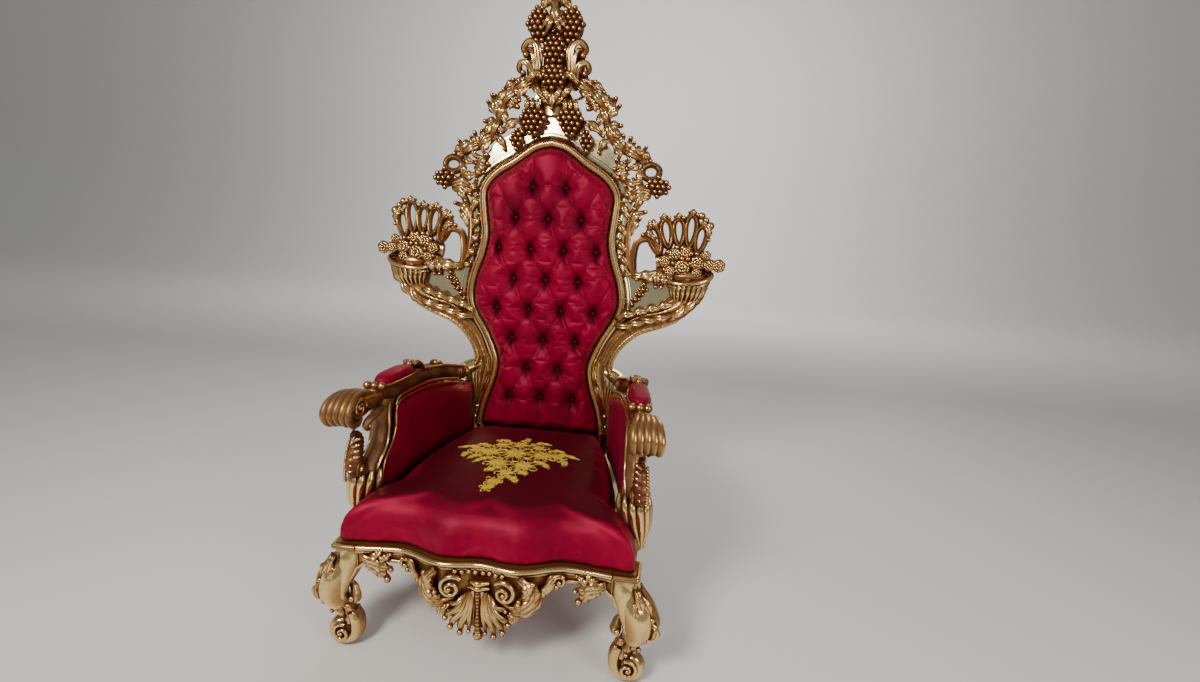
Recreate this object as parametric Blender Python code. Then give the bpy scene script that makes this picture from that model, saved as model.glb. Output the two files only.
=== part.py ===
"""A carved giltwood throne with a vine crest, two horns of plenty and buttoned upholstery.

Metres, +Z up. The front faces -Y, +X is to the right of someone who looks at the front, and the
origin is on the floor under the middle of the whole throne.
"""

import math

import bmesh
import bpy
from mathutils import Matrix, Vector, geometry
from mathutils.bvhtree import BVHTree

# Overall sizes
TOTAL_HEIGHT = 1.860
WING_SPAN = 1.240
RAIL_TOP = 0.311
SEAT_FRONT_WIDTH = 0.794
ARM_TOP = 0.690
BACK_RAKE = 0.072

# Depths, measured along Y
FRONT_CORNER_Y = -0.383
FRONT_HOLLOW_Y = -0.368
FRONT_CUSP_Y = -0.404
FRONT_MIDDLE_Y = -0.392
BACK_FACE_Y = 0.2736

# How far the drawn throne moves back, so that the origin is under the middle of its box
DEPTH_SHIFT = 0.0063

# Board and rail sizes
BACK_BOARD = 0.036
APRON_BOARD = 0.040
APRON_DROP = 0.208
SIDE_RAIL_THICKNESS = 0.034
SIDE_RAIL_DEPTH = 0.072
BACK_RAIL_THICKNESS = 0.030
LEG_BLOCK = 0.068
BACK_LEG_WIDTH = 0.046
BACK_LEG_DEPTH = 0.060
BACK_LEG_KICK = 0.112
SEAT_BACK_HALF = 0.300
SIDE_BOW = 0.034

# Upholstery sizes
SEAT_EDGE_HEIGHT = 0.094
SEAT_CROWN = 0.042
SEAT_SETBACK = 0.010
SIDE_PANEL_THICKNESS = 0.046
SIDE_PANEL_PUFF = 0.011
BACK_PAD_BOTTOM = 0.412
BACK_PAD_EDGE = 0.004
BACK_PAD_PUFF = 0.030
REBATE_DEPTH = 0.024
TUFT_DEPTH = 0.024
TUFT_WIDTH = 0.115
TUFT_HEIGHT = 0.106
TUFT_TOP_ROW = 1.265
TUFT_ROWS = 8
BUTTON_MARGIN = 0.044
BUTTON_RADIUS = 0.0085
BUTTON_HEIGHT = 0.006
REAR_PANEL_THICKNESS = 0.010
ARM_PAD_FRONT = -0.176
ARM_PAD_LENGTH = 0.170
ARM_PAD_BED = 0.676
ARM_PAD_WIDTH = 0.060
ARM_PAD_PUFF = 0.014
MOTIF_SPAN = 0.400
MOTIF_DEPTH = 0.360
MOTIF_CENTRE_Y = -0.085
MOTIF_THICKNESS = 0.005
MOTIF_CLEARANCE = 0.0008

# Arm sizes
ARM_JOINT_Y = 0.258
ARM_JOINT_Z = 0.606
ARM_JOINT_X = 0.292
ARM_ROUND = 0.026

# What touching pieces keep between them
GAP = 0.0003
SEAM = 0.002

# The sizes at which the carver's drawing was made. A route's numbers are shares of them.
DRAWN_TOP = 1.860
DRAWN_BOTTOM = 0.311
DRAWN_HALF_SPAN = 0.620
DRAWN_HALF_FRONT = 0.397
DRAWN_APRON_DROP = 0.208
DRAWN_ARM_TOP = 0.690

# Fineness of the fused skins
CARVING_VOXEL = 0.0036
SIDES = 8

GILT = (0.62, 0.42, 0.17, 1.0)
CREAM_GILT = (0.72, 0.62, 0.38, 1.0)
CRIMSON = (0.33, 0.012, 0.035, 1.0)
GOLD_THREAD = (0.70, 0.50, 0.08, 1.0)


def clear_scene():
    for obj in list(bpy.data.objects):
        bpy.data.objects.remove(obj, do_unlink=True)


def material(name, colour, roughness, metallic):
    made = bpy.data.materials.new(name)
    made.use_nodes = True
    shader = made.node_tree.nodes["Principled BSDF"]
    shader.inputs["Base Color"].default_value = colour
    shader.inputs["Roughness"].default_value = roughness
    shader.inputs["Metallic"].default_value = metallic
    return made


# Places on the carver's drawings


def on_back(u, v, out=0.0):
    """A drawn point of the back, u across and v up, standing out from the back's face."""
    x = u * (WING_SPAN / 2) / DRAWN_HALF_SPAN
    z = RAIL_TOP + (v - DRAWN_BOTTOM) * (TOTAL_HEIGHT - RAIL_TOP) / (DRAWN_TOP - DRAWN_BOTTOM)
    return Vector((x, BACK_FACE_Y + BACK_RAKE * (z - RAIL_TOP) - out, z))


def eased(stations, x):
    """A smooth curve through (place, value) stations, level at each station."""
    x = min(max(x, stations[0][0]), stations[-1][0])
    for (x0, y0), (x1, y1) in zip(stations, stations[1:]):
        if x <= x1:
            t = (x - x0) / (x1 - x0)
            return y0 + (y1 - y0) * t * t * (3 - 2 * t)
    return stations[-1][1]


def front_face_y(x):
    """The serpentine plan of the seat's front."""
    share = abs(x) / (SEAT_FRONT_WIDTH / 2)
    plan = [(0, FRONT_MIDDLE_Y), (0.23, FRONT_CUSP_Y), (0.55, FRONT_HOLLOW_Y), (1.0, FRONT_CORNER_Y)]
    return eased(plan, share)


def on_apron(u, v, out=0.0):
    """A drawn point of the apron, u across and v up, standing out from its curved face."""
    x = u * (SEAT_FRONT_WIDTH / 2) / DRAWN_HALF_FRONT
    z = RAIL_TOP - (DRAWN_BOTTOM - v) * APRON_DROP / DRAWN_APRON_DROP
    return Vector((x, front_face_y(x) - out, z))


def side_line_x(y):
    """The half width of the seat frame's bowed outer face at a depth."""
    front, back = SEAT_FRONT_WIDTH / 2 - 0.007, SEAT_BACK_HALF
    share = (y - FRONT_CORNER_Y) / (BACK_FACE_Y - FRONT_CORNER_Y)
    return front + (back - front) * share + 4 * SIDE_BOW * share * (1 - share)


def arm_line_x(y):
    """Where the middle of the right arm runs: it closes in on the stile at its rear end."""
    wide = SEAT_FRONT_WIDTH / 2 / DRAWN_HALF_FRONT
    plan = [(-0.383, 0.402), (-0.300, 0.392), (-0.200, 0.370), (0.000, 0.358), (0.170, 0.343)]
    plan = [(y0, x0 * wide) for y0, x0 in plan]
    return eased(plan + [(ARM_JOINT_Y, ARM_JOINT_X)], y)


def arm_height(v):
    return RAIL_TOP + (v - DRAWN_BOTTOM) * (ARM_TOP - RAIL_TOP) / (DRAWN_ARM_TOP - DRAWN_BOTTOM)


def on_arm(across, y, v):
    """A drawn point of the right arm: across from the arm's middle, y deep and v up."""
    return Vector((arm_line_x(y) + across, y, arm_height(v)))


def on_leg(u, depth, v):
    """A drawn point of the right front leg, set from the seat's front corner."""
    corner = SEAT_FRONT_WIDTH / 2 - DRAWN_HALF_FRONT
    return Vector((u + corner, FRONT_CORNER_Y + depth, v * RAIL_TOP / DRAWN_BOTTOM))


# Carving tools


def smooth_route(points, per=4):
    """A curve through the points, with `per` steps between neighbours."""
    points = [Vector(p) for p in points]
    if len(points) < 3:
        return points
    ends = [2 * points[0] - points[1]] + points + [2 * points[-1] - points[-2]]
    made = []
    for a, b, c, d in zip(ends, ends[1:], ends[2:], ends[3:]):
        for step in range(per):
            t = step / per
            made.append(0.5 * (2 * b + (c - a) * t + (2 * a - 5 * b + 4 * c - d) * t * t
                               + (3 * b - 3 * c + d - a) * t * t * t))
    return made + [points[-1]]


def spread(values, count):
    """`count` values, eased along a short list of them."""
    if isinstance(values, (int, float)):
        return [values] * count
    last = len(values) - 1
    return [eased(list(enumerate(values)), last * i / (count - 1)) for i in range(count)]


class Carving:
    """Closed bodies that overlap where the carver leaves them joined in one block."""

    def __init__(self):
        self.bm = bmesh.new()

    def skin(self, rings):
        """A closed body through rings of the same number of points."""
        rows = [[self.bm.verts.new(p) for p in ring] for ring in rings]
        for low, high in zip(rows, rows[1:]):
            for i, vert in enumerate(low):
                j = (i + 1) % len(low)
                self.bm.faces.new((vert, low[j], high[j], high[i]))
        self.bm.faces.new(rows[0][::-1])
        self.bm.faces.new(rows[-1])

    def rod(self, route, radii, facing=(0, -1, 0), flat=1.0, sides=SIDES, ridge=0.0):
        """A tapering rod along a route. `flat` squashes it along `facing`, `ridge` keels its front."""
        route = [Vector(p) for p in route]
        facing = Vector(facing).normalized()
        rings = []
        for i, (centre, radius) in enumerate(zip(route, spread(radii, len(route)))):
            along = (route[min(i + 1, len(route) - 1)] - route[max(i - 1, 0)]).normalized()
            across = along.cross(facing).normalized()
            out = across.cross(along)
            ring = []
            for k in range(sides):
                turn = 2 * math.pi * k / sides
                lift = math.sin(turn) * flat
                if ridge and lift > 0:
                    lift += ridge * max(0.0, math.sin(turn)) ** 6
                ring.append(centre + radius * (math.cos(turn) * across + lift * out))
            rings.append(ring)
        self.skin(rings)

    def ball(self, centre, radius, squash=(1, 1, 1), fine=1):
        matrix = Matrix.Translation(Vector(centre)) @ Matrix.Diagonal((*squash, 1))
        bmesh.ops.create_icosphere(self.bm, subdivisions=fine, radius=radius, matrix=matrix)

    def box(self, low, high):
        low, high = Vector(low), Vector(high)
        size = high - low
        matrix = Matrix.Translation((low + high) / 2) @ Matrix.Diagonal((*size, 1))
        bmesh.ops.create_cube(self.bm, size=1.0, matrix=matrix)

    def strip(self, inner, outer, thickness):
        """A board between two matching edges, going back from its face by `thickness`."""
        back = Vector((0, thickness, 0))
        self.skin([[a, b, b + back, a + back] for a, b in zip(inner, outer)])

    def add_left_half(self):
        """A mirror image of every body, for a piece that runs across the middle."""
        whole = self.bm.verts[:] + self.bm.edges[:] + self.bm.faces[:]
        copy = bmesh.ops.duplicate(self.bm, geom=whole)["geom"]
        for vert in copy:
            if isinstance(vert, bmesh.types.BMVert):
                vert.co.x = -vert.co.x

    def finish(self, name, finish_material, faces, voxel=CARVING_VOXEL, both_sides=False):
        """Fuses the bodies into one skin of about `faces` triangles."""
        if both_sides:
            self.add_left_half()
        bmesh.ops.recalc_face_normals(self.bm, faces=self.bm.faces)
        obj = new_object(name, self.bm, finish_material)
        fuse = obj.modifiers.new("fuse", "REMESH")
        fuse.mode = "VOXEL"
        fuse.voxel_size = voxel
        apply_modifiers(obj)
        keep_largest(obj)
        thin = obj.modifiers.new("thin", "DECIMATE")
        triangles = sum(len(p.vertices) - 2 for p in obj.data.polygons)
        thin.ratio = min(1.0, faces / triangles)
        thin.use_collapse_triangulate = True
        apply_modifiers(obj)
        return obj


def new_object(name, bm, finish_material):
    mesh = bpy.data.meshes.new(name)
    bm.to_mesh(mesh)
    bm.free()
    mesh.materials.append(finish_material)
    obj = bpy.data.objects.new(name, mesh)
    bpy.context.scene.collection.objects.link(obj)
    return obj


def apply_modifiers(obj):
    graph = bpy.context.evaluated_depsgraph_get()
    graph.update()
    fresh = bpy.data.meshes.new_from_object(obj.evaluated_get(graph))
    old = obj.data
    obj.modifiers.clear()
    obj.data = fresh
    if not fresh.materials:
        fresh.materials.append(old.materials[0])
    bpy.data.meshes.remove(old)


def keep_largest(obj):
    """Drops crumbs that the fusing leaves beside the main body."""
    bm = bmesh.new()
    bm.from_mesh(obj.data)
    left, groups = set(bm.verts), []
    while left:
        seed = left.pop()
        group, edge = {seed}, [seed]
        while edge:
            for link in edge.pop().link_edges:
                for vert in link.verts:
                    if vert in left:
                        left.remove(vert)
                        group.add(vert)
                        edge.append(vert)
        groups.append(group)
    groups.sort(key=len)
    for group in groups[:-1]:
        bmesh.ops.delete(bm, geom=list(group), context="VERTS")
    bm.to_mesh(obj.data)
    bm.free()


def cut_flat(obj, point, normal):
    """Saws off what lies beyond a plane, on the side its normal points to, and closes the cut."""
    bm = bmesh.new()
    bm.from_mesh(obj.data)
    whole = bm.verts[:] + bm.edges[:] + bm.faces[:]
    cut = bmesh.ops.bisect_plane(bm, geom=whole, dist=1e-6, plane_co=Vector(point),
                                 plane_no=Vector(normal), clear_outer=True)
    rim = [e for e in cut["geom_cut"] if isinstance(e, bmesh.types.BMEdge)]
    bmesh.ops.holes_fill(bm, edges=rim, sides=0)
    bmesh.ops.triangulate(bm, faces=[f for f in bm.faces if len(f.verts) > 3])
    bm.to_mesh(obj.data)
    bm.free()


def cut_box(obj, low, high):
    """Clears the room of a neighbour out of a carved piece."""
    tool = Carving()
    tool.box(low, high)
    bmesh.ops.recalc_face_normals(tool.bm, faces=tool.bm.faces)
    cutter = new_object(obj.name + "_room", tool.bm, obj.data.materials[0])
    cut_with(obj, cutter)


def cut_with(obj, cutter):
    cut = obj.modifiers.new("room", "BOOLEAN")
    cut.operation = "DIFFERENCE"
    cut.solver = "MANIFOLD"
    cut.object = cutter
    apply_modifiers(obj)
    bpy.data.objects.remove(cutter, do_unlink=True)


def solid(name, bm, finish_material):
    """A piece made straight from its faces, with every face turned outwards."""
    bmesh.ops.triangulate(bm, faces=[f for f in bm.faces if len(f.verts) > 4])
    bmesh.ops.recalc_face_normals(bm, faces=bm.faces)
    return new_object(name, bm, finish_material)


def mirrored(obj, name):
    """A left-hand copy of a right-hand piece."""
    copy = obj.copy()
    copy.data = obj.data.copy()
    copy.name = copy.data.name = name
    bpy.context.scene.collection.objects.link(copy)
    copy.data.transform(Matrix.Diagonal((-1, 1, 1, 1)))
    copy.data.flip_normals()
    return copy


# Ornament that more than one piece carries


def grape_bunch(carving, place, centre, half_width, half_height, depth, grape, drop=0.35):
    """Grapes in offset rows over a pointed mound. `place` turns drawn points into real ones."""
    u0, v0 = centre
    carving.ball(place(u0, v0, 0.0), 1.0,
                 (half_width * 0.86, depth * 0.85, half_height * 0.88), fine=2)
    row_gap, grape_gap = grape * 1.62, grape * 1.86
    rows = int(half_height / row_gap)
    for row in range(-rows, rows + 1):
        v = row * row_gap
        share = v / half_height
        narrow = 1 - drop * max(0.0, -share)
        reach = half_width * narrow * math.sqrt(max(0.0, 1 - share * share))
        shift = 0.5 * grape_gap * (row % 2)
        count = int(reach / grape_gap) + 1
        for k in range(-count, count + 1):
            u = k * grape_gap + shift
            inside = 1 - (u / max(reach, grape)) ** 2 - share * share * 0.8
            if inside < 0.02:
                continue
            carving.ball(place(u0 + u, v0 + v, depth * math.sqrt(inside)), grape, fine=1)


def leaf(carving, place, route, width, out=0.012, lift=0.010, lobes=0):
    """A leaf along a drawn route: thin at its root, broad in the middle, with a lifted, pointed tip."""
    spine = smooth_route([Vector((*p, 0)) for p in route], per=5)
    count = len(spine)
    points, widths = [], []
    for i, p in enumerate(spine):
        t = i / (count - 1)
        points.append(place(p.x, p.y, out + lift * math.sin(math.pi * min(1.0, t * 1.15))))
        full = math.sin(math.pi * min(0.97, 0.14 + 0.84 * t)) ** 0.7
        if lobes:
            full *= 0.80 + 0.20 * abs(math.cos(math.pi * lobes * t))
        widths.append(max(0.22, full) * width)
    carving.rod(points, widths, flat=0.62, sides=6, ridge=0.25)


def spiral(carving, place, centre, radius, turns, thick, out, start=0.0, hand=1):
    """A tapering scroll that winds in to an eye."""
    steps = max(6, int(turns * 12))
    points = []
    for i in range(steps + 1):
        t = i / steps
        turn = start + hand * 2 * math.pi * turns * t
        reach = radius * (1 - 0.80 * t)
        points.append(place(centre[0] + reach * math.cos(turn),
                            centre[1] + reach * math.sin(turn), out + 0.004 * t))
    carving.rod(points, [thick, thick * 0.8, thick * 0.55], sides=6)
    carving.ball(place(centre[0], centre[1], out + 0.004), thick * 0.95)


# The carved back

OPENING_AND_EDGE = [
    ((0.000, 1.403), (0.000, 1.600)), ((0.045, 1.392), (0.050, 1.580)),
    ((0.085, 1.367), (0.092, 1.510)), ((0.125, 1.338), (0.125, 1.450)),
    ((0.175, 1.308), (0.200, 1.405)), ((0.208, 1.275), (0.245, 1.335)),
    ((0.224, 1.237), (0.278, 1.260)), ((0.220, 1.176), (0.292, 1.180)),
    ((0.213, 1.100), (0.288, 1.090)), ((0.225, 1.030), (0.310, 1.000)),
    ((0.252, 0.950), (0.430, 0.985)), ((0.261, 0.880), (0.445, 0.900)),
    ((0.245, 0.825), (0.360, 0.830)), ((0.205, 0.757), (0.290, 0.750)),
    ((0.175, 0.690), (0.250, 0.685)), ((0.164, 0.640), (0.245, 0.640)),
    ((0.175, 0.575), (0.285, 0.575)), ((0.203, 0.490), (0.300, 0.490)),
    ((0.216, 0.420), (0.300, 0.420)), ((0.220, 0.311), (0.300, 0.311)),
]
MOULDING = 0.013
LIP = 0.010


def opening_route(grow=0.0, per=3):
    """The drawn edge of the back's opening, from its top to the seat, moved outwards by `grow`."""
    flat = smooth_route([Vector((*inner, 0)) for inner, _ in OPENING_AND_EDGE], per)
    moved = []
    for i, p in enumerate(flat):
        along = (flat[min(i + 1, len(flat) - 1)] - flat[max(i - 1, 0)]).normalized()
        moved.append(p + grow * Vector((-along.y, along.x, 0)))
    moved[0].x = 0.0
    return moved


def field_board(carving):
    """The gilt board between the opening and the ornament."""
    inner = [on_back(p.x, p.y) for p in opening_route(-0.004)]
    edge = smooth_route([Vector((*outer, 0)) for _, outer in OPENING_AND_EDGE], per=3)
    outer = [on_back(p.x, p.y) for p in edge]
    carving.strip(inner, outer, BACK_BOARD)


def opening_moulding(carving):
    """The round moulding that frames the buttoned pad."""
    route = [on_back(p.x, p.y, 0.004) for p in opening_route(LIP) if p.y > 0.42]
    route.insert(0, on_back(-0.03, 1.400, 0.004))
    carving.rod(route, MOULDING, flat=1.15)


def rear_leg(carving):
    """The stile's lower end: a block at the seat frame, then a leg that kicks back."""
    front, block = BACK_FACE_Y - SEAM, BACK_LEG_DEPTH * 0.80
    low = RAIL_TOP - SIDE_RAIL_DEPTH
    outer = SEAT_BACK_HALF
    stations = [(BACK_PAD_BOTTOM + 0.03, 0.0, 0.215, block), (low - 0.012, 0.0, 0.215, block)]
    stations += [(low - 0.040, 0.004, outer - BACK_LEG_WIDTH, block * 0.95)]
    stations += [(low * 0.45, BACK_LEG_KICK * 0.30, outer - BACK_LEG_WIDTH, block * 0.85)]
    stations += [(-0.010, BACK_LEG_KICK, outer - BACK_LEG_WIDTH, block * 0.85)]
    rings = []
    for z, back, inner, deep in stations:
        y = front + back
        rings.append([Vector((inner, y, z)), Vector((outer, y, z)),
                      Vector((outer, y + deep, z)), Vector((inner, y + deep, z))])
    carving.skin(rings)


def crest(carving):
    """The pinnacle: two top bunches, two in the middle, and its leaves."""
    stem = [on_back(0, v, -0.004) for v in (1.50, 1.56, 1.62, 1.70, 1.78, 1.835)]
    carving.rod(stem, [0.052, 0.050, 0.046, 0.044, 0.060, 0.026], flat=0.60)
    grape_bunch(carving, on_back, (0, 1.702), 0.046, 0.050, 0.046, 0.0118)
    grape_bunch(carving, on_back, (0, 1.616), 0.056, 0.052, 0.050, 0.0118, drop=0.5)
    leaf(carving, on_back, [(0, 1.845), (0.002, 1.81), (0, 1.765)], 0.016, out=0.040)
    leaf(carving, on_back, [(0, 1.575), (0, 1.548), (0, 1.522)], 0.014, out=0.026)
    place = on_back
    grape_bunch(carving, place, (0.054, 1.783), 0.045, 0.057, 0.044, 0.0118, drop=0.1)
    leaf(carving, place, [(0.004, 1.790), (0.016, 1.765), (0.034, 1.752)], 0.010, out=0.044)
    leaf(carving, place, [(0.010, 1.840), (0.032, 1.846), (0.052, 1.820)], 0.013, out=0.026)
    curl_high = [(0.062, 1.600), (0.056, 1.655), (0.063, 1.712), (0.085, 1.728), (0.105, 1.708)]
    leaf(carving, place, curl_high + [(0.096, 1.686)], 0.015, out=0.014, lift=0.016)
    curl_low = [(0.078, 1.592), (0.072, 1.635), (0.086, 1.664), (0.109, 1.664), (0.117, 1.646)]
    leaf(carving, place, curl_low + [(0.103, 1.634)], 0.014, out=0.012, lift=0.014)
    leaf(carving, place, [(0.004, 1.535), (0.028, 1.556), (0.060, 1.600)], 0.014, out=0.022)
    leaf(carving, place, [(0.088, 1.600), (0.060, 1.622), (0.030, 1.622)], 0.011, out=0.036)


BRANCH = [(0.068, 1.612), (0.118, 1.591), (0.157, 1.556), (0.178, 1.517), (0.187, 1.474),
          (0.206, 1.432), (0.240, 1.403), (0.286, 1.386), (0.322, 1.362)]


def vine_shoulder(carving, place):
    """The pierced vine that falls from the crest to the outer bunch."""
    carving.rod([place(u, v, -0.004) for u, v in smooth_route_flat(BRANCH)], [0.014, 0.012, 0.013],
                flat=1.6, sides=6)
    grape_bunch(carving, place, (0.063, 1.490), 0.046, 0.058, 0.046, 0.0118, drop=0.25)
    grape_bunch(carving, place, (0.121, 1.420), 0.026, 0.030, 0.026, 0.0105)
    grape_bunch(carving, place, (0.370, 1.283), 0.038, 0.034, 0.032, 0.0110)
    leaves = [
        ([(0.112, 1.588), (0.122, 1.606), (0.141, 1.614)], 0.013),
        ([(0.128, 1.590), (0.150, 1.597), (0.170, 1.580)], 0.011),
        ([(0.180, 1.490), (0.200, 1.530), (0.212, 1.568)], 0.014),
        ([(0.182, 1.490), (0.212, 1.515), (0.230, 1.538)], 0.012),
        ([(0.190, 1.455), (0.212, 1.475), (0.236, 1.476)], 0.014),
        ([(0.194, 1.445), (0.222, 1.446), (0.240, 1.436)], 0.012),
        ([(0.246, 1.398), (0.262, 1.418), (0.270, 1.442)], 0.013),
        ([(0.282, 1.388), (0.300, 1.398), (0.313, 1.392)], 0.012),
        ([(0.300, 1.376), (0.324, 1.382), (0.342, 1.366)], 0.012),
        ([(0.163, 1.536), (0.143, 1.532), (0.122, 1.526)], 0.015),
        ([(0.160, 1.548), (0.128, 1.572), (0.084, 1.556)], 0.009),
        ([(0.098, 1.474), (0.132, 1.474), (0.176, 1.440)], 0.015),
        ([(0.218, 1.418), (0.186, 1.420), (0.166, 1.390)], 0.012),
        ([(0.262, 1.342), (0.240, 1.348), (0.224, 1.366)], 0.017),
        ([(0.266, 1.334), (0.242, 1.326), (0.220, 1.336)], 0.015),
        ([(0.300, 1.366), (0.290, 1.345), (0.262, 1.338)], 0.013),
        ([(0.316, 1.300), (0.284, 1.292), (0.250, 1.304)], 0.015),
        ([(0.320, 1.346), (0.306, 1.316), (0.318, 1.284)], 0.012),
        ([(0.352, 1.262), (0.312, 1.272), (0.268, 1.252)], 0.017),
        ([(0.340, 1.250), (0.312, 1.236), (0.296, 1.208)], 0.014),
    ]
    for route, width in leaves:
        leaf(carving, place, route, width, out=0.006)
    ring = [place(0.343 + 0.029 * math.cos(a), 1.331 + 0.024 * math.sin(a), 0.006)
            for a in circle_turns(12)]
    carving.rod(ring, 0.0105, flat=1.2, sides=6)


def circle_turns(steps):
    """Angles once round, with the first one repeated a little on so that the ends overlap."""
    return [2 * math.pi * k / steps for k in range(steps + 1)]


def smooth_route_flat(route, per=3):
    return [(p.x, p.y) for p in smooth_route([Vector((*q, 0)) for q in route], per)]


STILE_VINE = [(0.334, 1.268), (0.303, 1.217), (0.281, 1.165), (0.278, 1.087), (0.290, 1.020), (0.316, 0.980)]


def vine_stile(carving, place):
    """The vine down the outside of the back's field, with the leaf that curls off it."""
    carving.rod([place(u, v, -0.004) for u, v in smooth_route_flat(STILE_VINE)], 0.0115, flat=1.6, sides=6)
    leaves = [
        ([(0.284, 1.135), (0.300, 1.185), (0.336, 1.200)], 0.013),
        ([(0.282, 1.170), (0.258, 1.205), (0.254, 1.232)], 0.011),
        ([(0.280, 1.110), (0.252, 1.140), (0.246, 1.166)], 0.011),
        ([(0.284, 1.060), (0.258, 1.082), (0.250, 1.106)], 0.011),
        ([(0.296, 1.010), (0.270, 1.034), (0.258, 1.056)], 0.011),
        ([(0.296, 1.235), (0.268, 1.256), (0.258, 1.282)], 0.011),
    ]
    for route, width in leaves:
        leaf(carving, place, route, width, out=0.002)


HORN_LINE = [(0.222, 0.660), (0.262, 0.752), (0.336, 0.822), (0.414, 0.852), (0.468, 0.890),
             (0.498, 0.944), (0.500, 0.984)]
HORN_RADII = [0.024, 0.030, 0.040, 0.042, 0.048, 0.062, 0.072]


def horn(carving, place):
    """The fluted horn of plenty, its rim and the leaves along its upper side."""
    line = smooth_route_flat(HORN_LINE, 2)
    carving.rod([place(u, v, 0.000) for u, v in line], HORN_RADII, flat=0.62, sides=12)
    turns = 7
    for k in range(turns):
        start = 0.18 + 0.105 * k
        band = []
        for j in range(5):
            t = min(1.0, start + 0.05 * j)
            centre, radius, across = horn_section(t)
            lean = -1.1 + 2.2 * j / 4
            band.append(place(centre[0] + across[0] * radius * math.sin(lean),
                              centre[1] + across[1] * radius * math.sin(lean),
                              0.62 * radius * math.cos(lean)))
        carving.rod(band, [0.004, 0.008, 0.0085, 0.007, 0.004], sides=6)
    rim = [place(0.498 + 0.074 * math.cos(a), 0.990 + 0.020 * math.sin(a) + 0.010 * math.cos(a),
                 0.012 - 0.030 * math.sin(a)) for a in circle_turns(14)]
    carving.rod(rim, 0.0085, sides=6)
    for k in range(5):
        u, v = 0.270 + 0.036 * k, 0.836 + 0.011 * k
        leaf(carving, place, [(u, v), (u + 0.022, v + 0.022), (u + 0.052, v + 0.020)], 0.010, out=0.020)


def horn_section(t):
    """Centre, radius and sideways direction of the horn at a share of its length."""
    line = smooth_route_flat(HORN_LINE, 8)
    i = min(len(line) - 2, int(t * (len(line) - 1)))
    (u0, v0), (u1, v1) = line[i], line[i + 1]
    length = math.hypot(u1 - u0, v1 - v0)
    radius = eased(list(enumerate(HORN_RADII)), t * (len(HORN_RADII) - 1))
    return (u0, v0), radius, ((v1 - v0) / length, -(u1 - u0) / length)


CROWN_LOOPS = [((0.390, 1.064), (0.358, 1.150)), ((0.420, 1.086), (0.401, 1.178)), 
               ((0.456, 1.094), (0.448, 1.182)),
               ((0.488, 1.092), (0.494, 1.196)), ((0.518, 1.072), (0.532, 1.160))]


def crown_loops(carving, place):
    """The fan of pierced loops above the horn's flowers."""
    for (u0, v0), (u1, v1) in CROWN_LOOPS:
        long, wide = 0.5 * math.hypot(u1 - u0, v1 - v0), 0.0165
        along = Vector((u1 - u0, v1 - v0)).normalized()
        ring = []
        for a in circle_turns(12):
            reach, off = long * math.cos(a), wide * math.sin(a) * (1 + 0.25 * math.cos(a))
            ring.append(place((u0 + u1) / 2 + along.x * reach - along.y * off,
                              (v0 + v1) / 2 + along.y * reach + along.x * off, 0.004))
        carving.rod(ring, 0.0072, flat=1.5, sides=6)
        carving.ball(place(u1, v1 + 0.004, 0.010), 0.0125)
    carving.ball(place(0.553, 1.166, 0.010), 0.017)
    carving.ball(place(0.522, 1.202, 0.008), 0.015)


def flower(carving, place, centre, radius, out):
    """A small rosette: an eye and a ring of round petals."""
    u, v = centre
    carving.ball(place(u, v, out - radius * 0.2), radius * 0.80)
    carving.ball(place(u, v, out + radius * 0.5), radius * 0.34)
    for k in range(6):
        turn = 2 * math.pi * k / 6
        carving.ball(place(u + 0.66 * radius * math.cos(turn), v + 0.66 * radius * math.sin(turn),
                           out + radius * 0.18), radius * 0.42)


FLOWERS = [((0.410, 1.040), 0.022), ((0.443, 1.062), 0.024), ((0.478, 1.072), 0.022), ((0.470, 1.022), 0.030),
           ((0.520, 1.040), 0.026), ((0.430, 1.010), 0.020), ((0.520, 1.010), 0.020), ((0.560, 1.032), 0.021),
           ((0.594, 1.034), 0.024)]


def wing(carving, place):
    """One horn of plenty with its flowers, loops and trailing leaves."""
    horn(carving, place)
    crown_loops(carving, place)
    for centre, radius in FLOWERS:
        flower(carving, place, centre, radius, 0.020)
    bank = [(0.380, 1.030), (0.450, 1.040), (0.520, 1.035), (0.590, 1.035)]
    carving.rod([place(u, v, -0.006) for u, v in bank],
                [0.026, 0.040, 0.034, 0.016], flat=0.55)
    big_ring = [(0.306, 0.990), (0.302, 1.050), (0.312, 1.098), (0.345, 1.112), (0.374, 1.094),
                (0.388, 1.060)]
    carving.rod([place(u, v, -0.002) for u, v in smooth_route_flat(big_ring)], [0.011, 0.012, 0.010],
                flat=1.5, sides=6)
    leaves = [
        ([(0.300, 0.985), (0.350, 0.985), (0.410, 1.010)], 0.016),
        ([(0.404, 1.010), (0.388, 0.980), (0.386, 0.950)], 0.013),
        ([(0.410, 1.004), (0.412, 0.976), (0.404, 0.950)], 0.012),
        ([(0.394, 1.006), (0.364, 0.980), (0.345, 0.958)], 0.013),
        ([(0.386, 1.000), (0.350, 0.990), (0.318, 0.972)], 0.013),
    ]
    for route, width in leaves:
        leaf(carving, place, route, width, out=0.006)
    for k in range(4):
        centre = (0.340 - 0.013 * k, 0.936 - 0.019 * k)
        grape_bunch(carving, place, centre, 0.016 - 0.002 * k, 0.014, 0.012, 0.0085)


STILE_SHAFT = [(0.242, 0.600), (0.247, 0.540), (0.246, 0.495)]


def stile_foot(carving, place):
    """The small husk and beads low on the stile, and the stub that carries the arm."""
    leaf(carving, place, STILE_SHAFT, 0.016, out=0.004)
    carving.ball(place(0.238, 0.476, 0.004), 0.011)
    carving.ball(place(0.242, 0.440, 0.004), 0.010)


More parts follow.
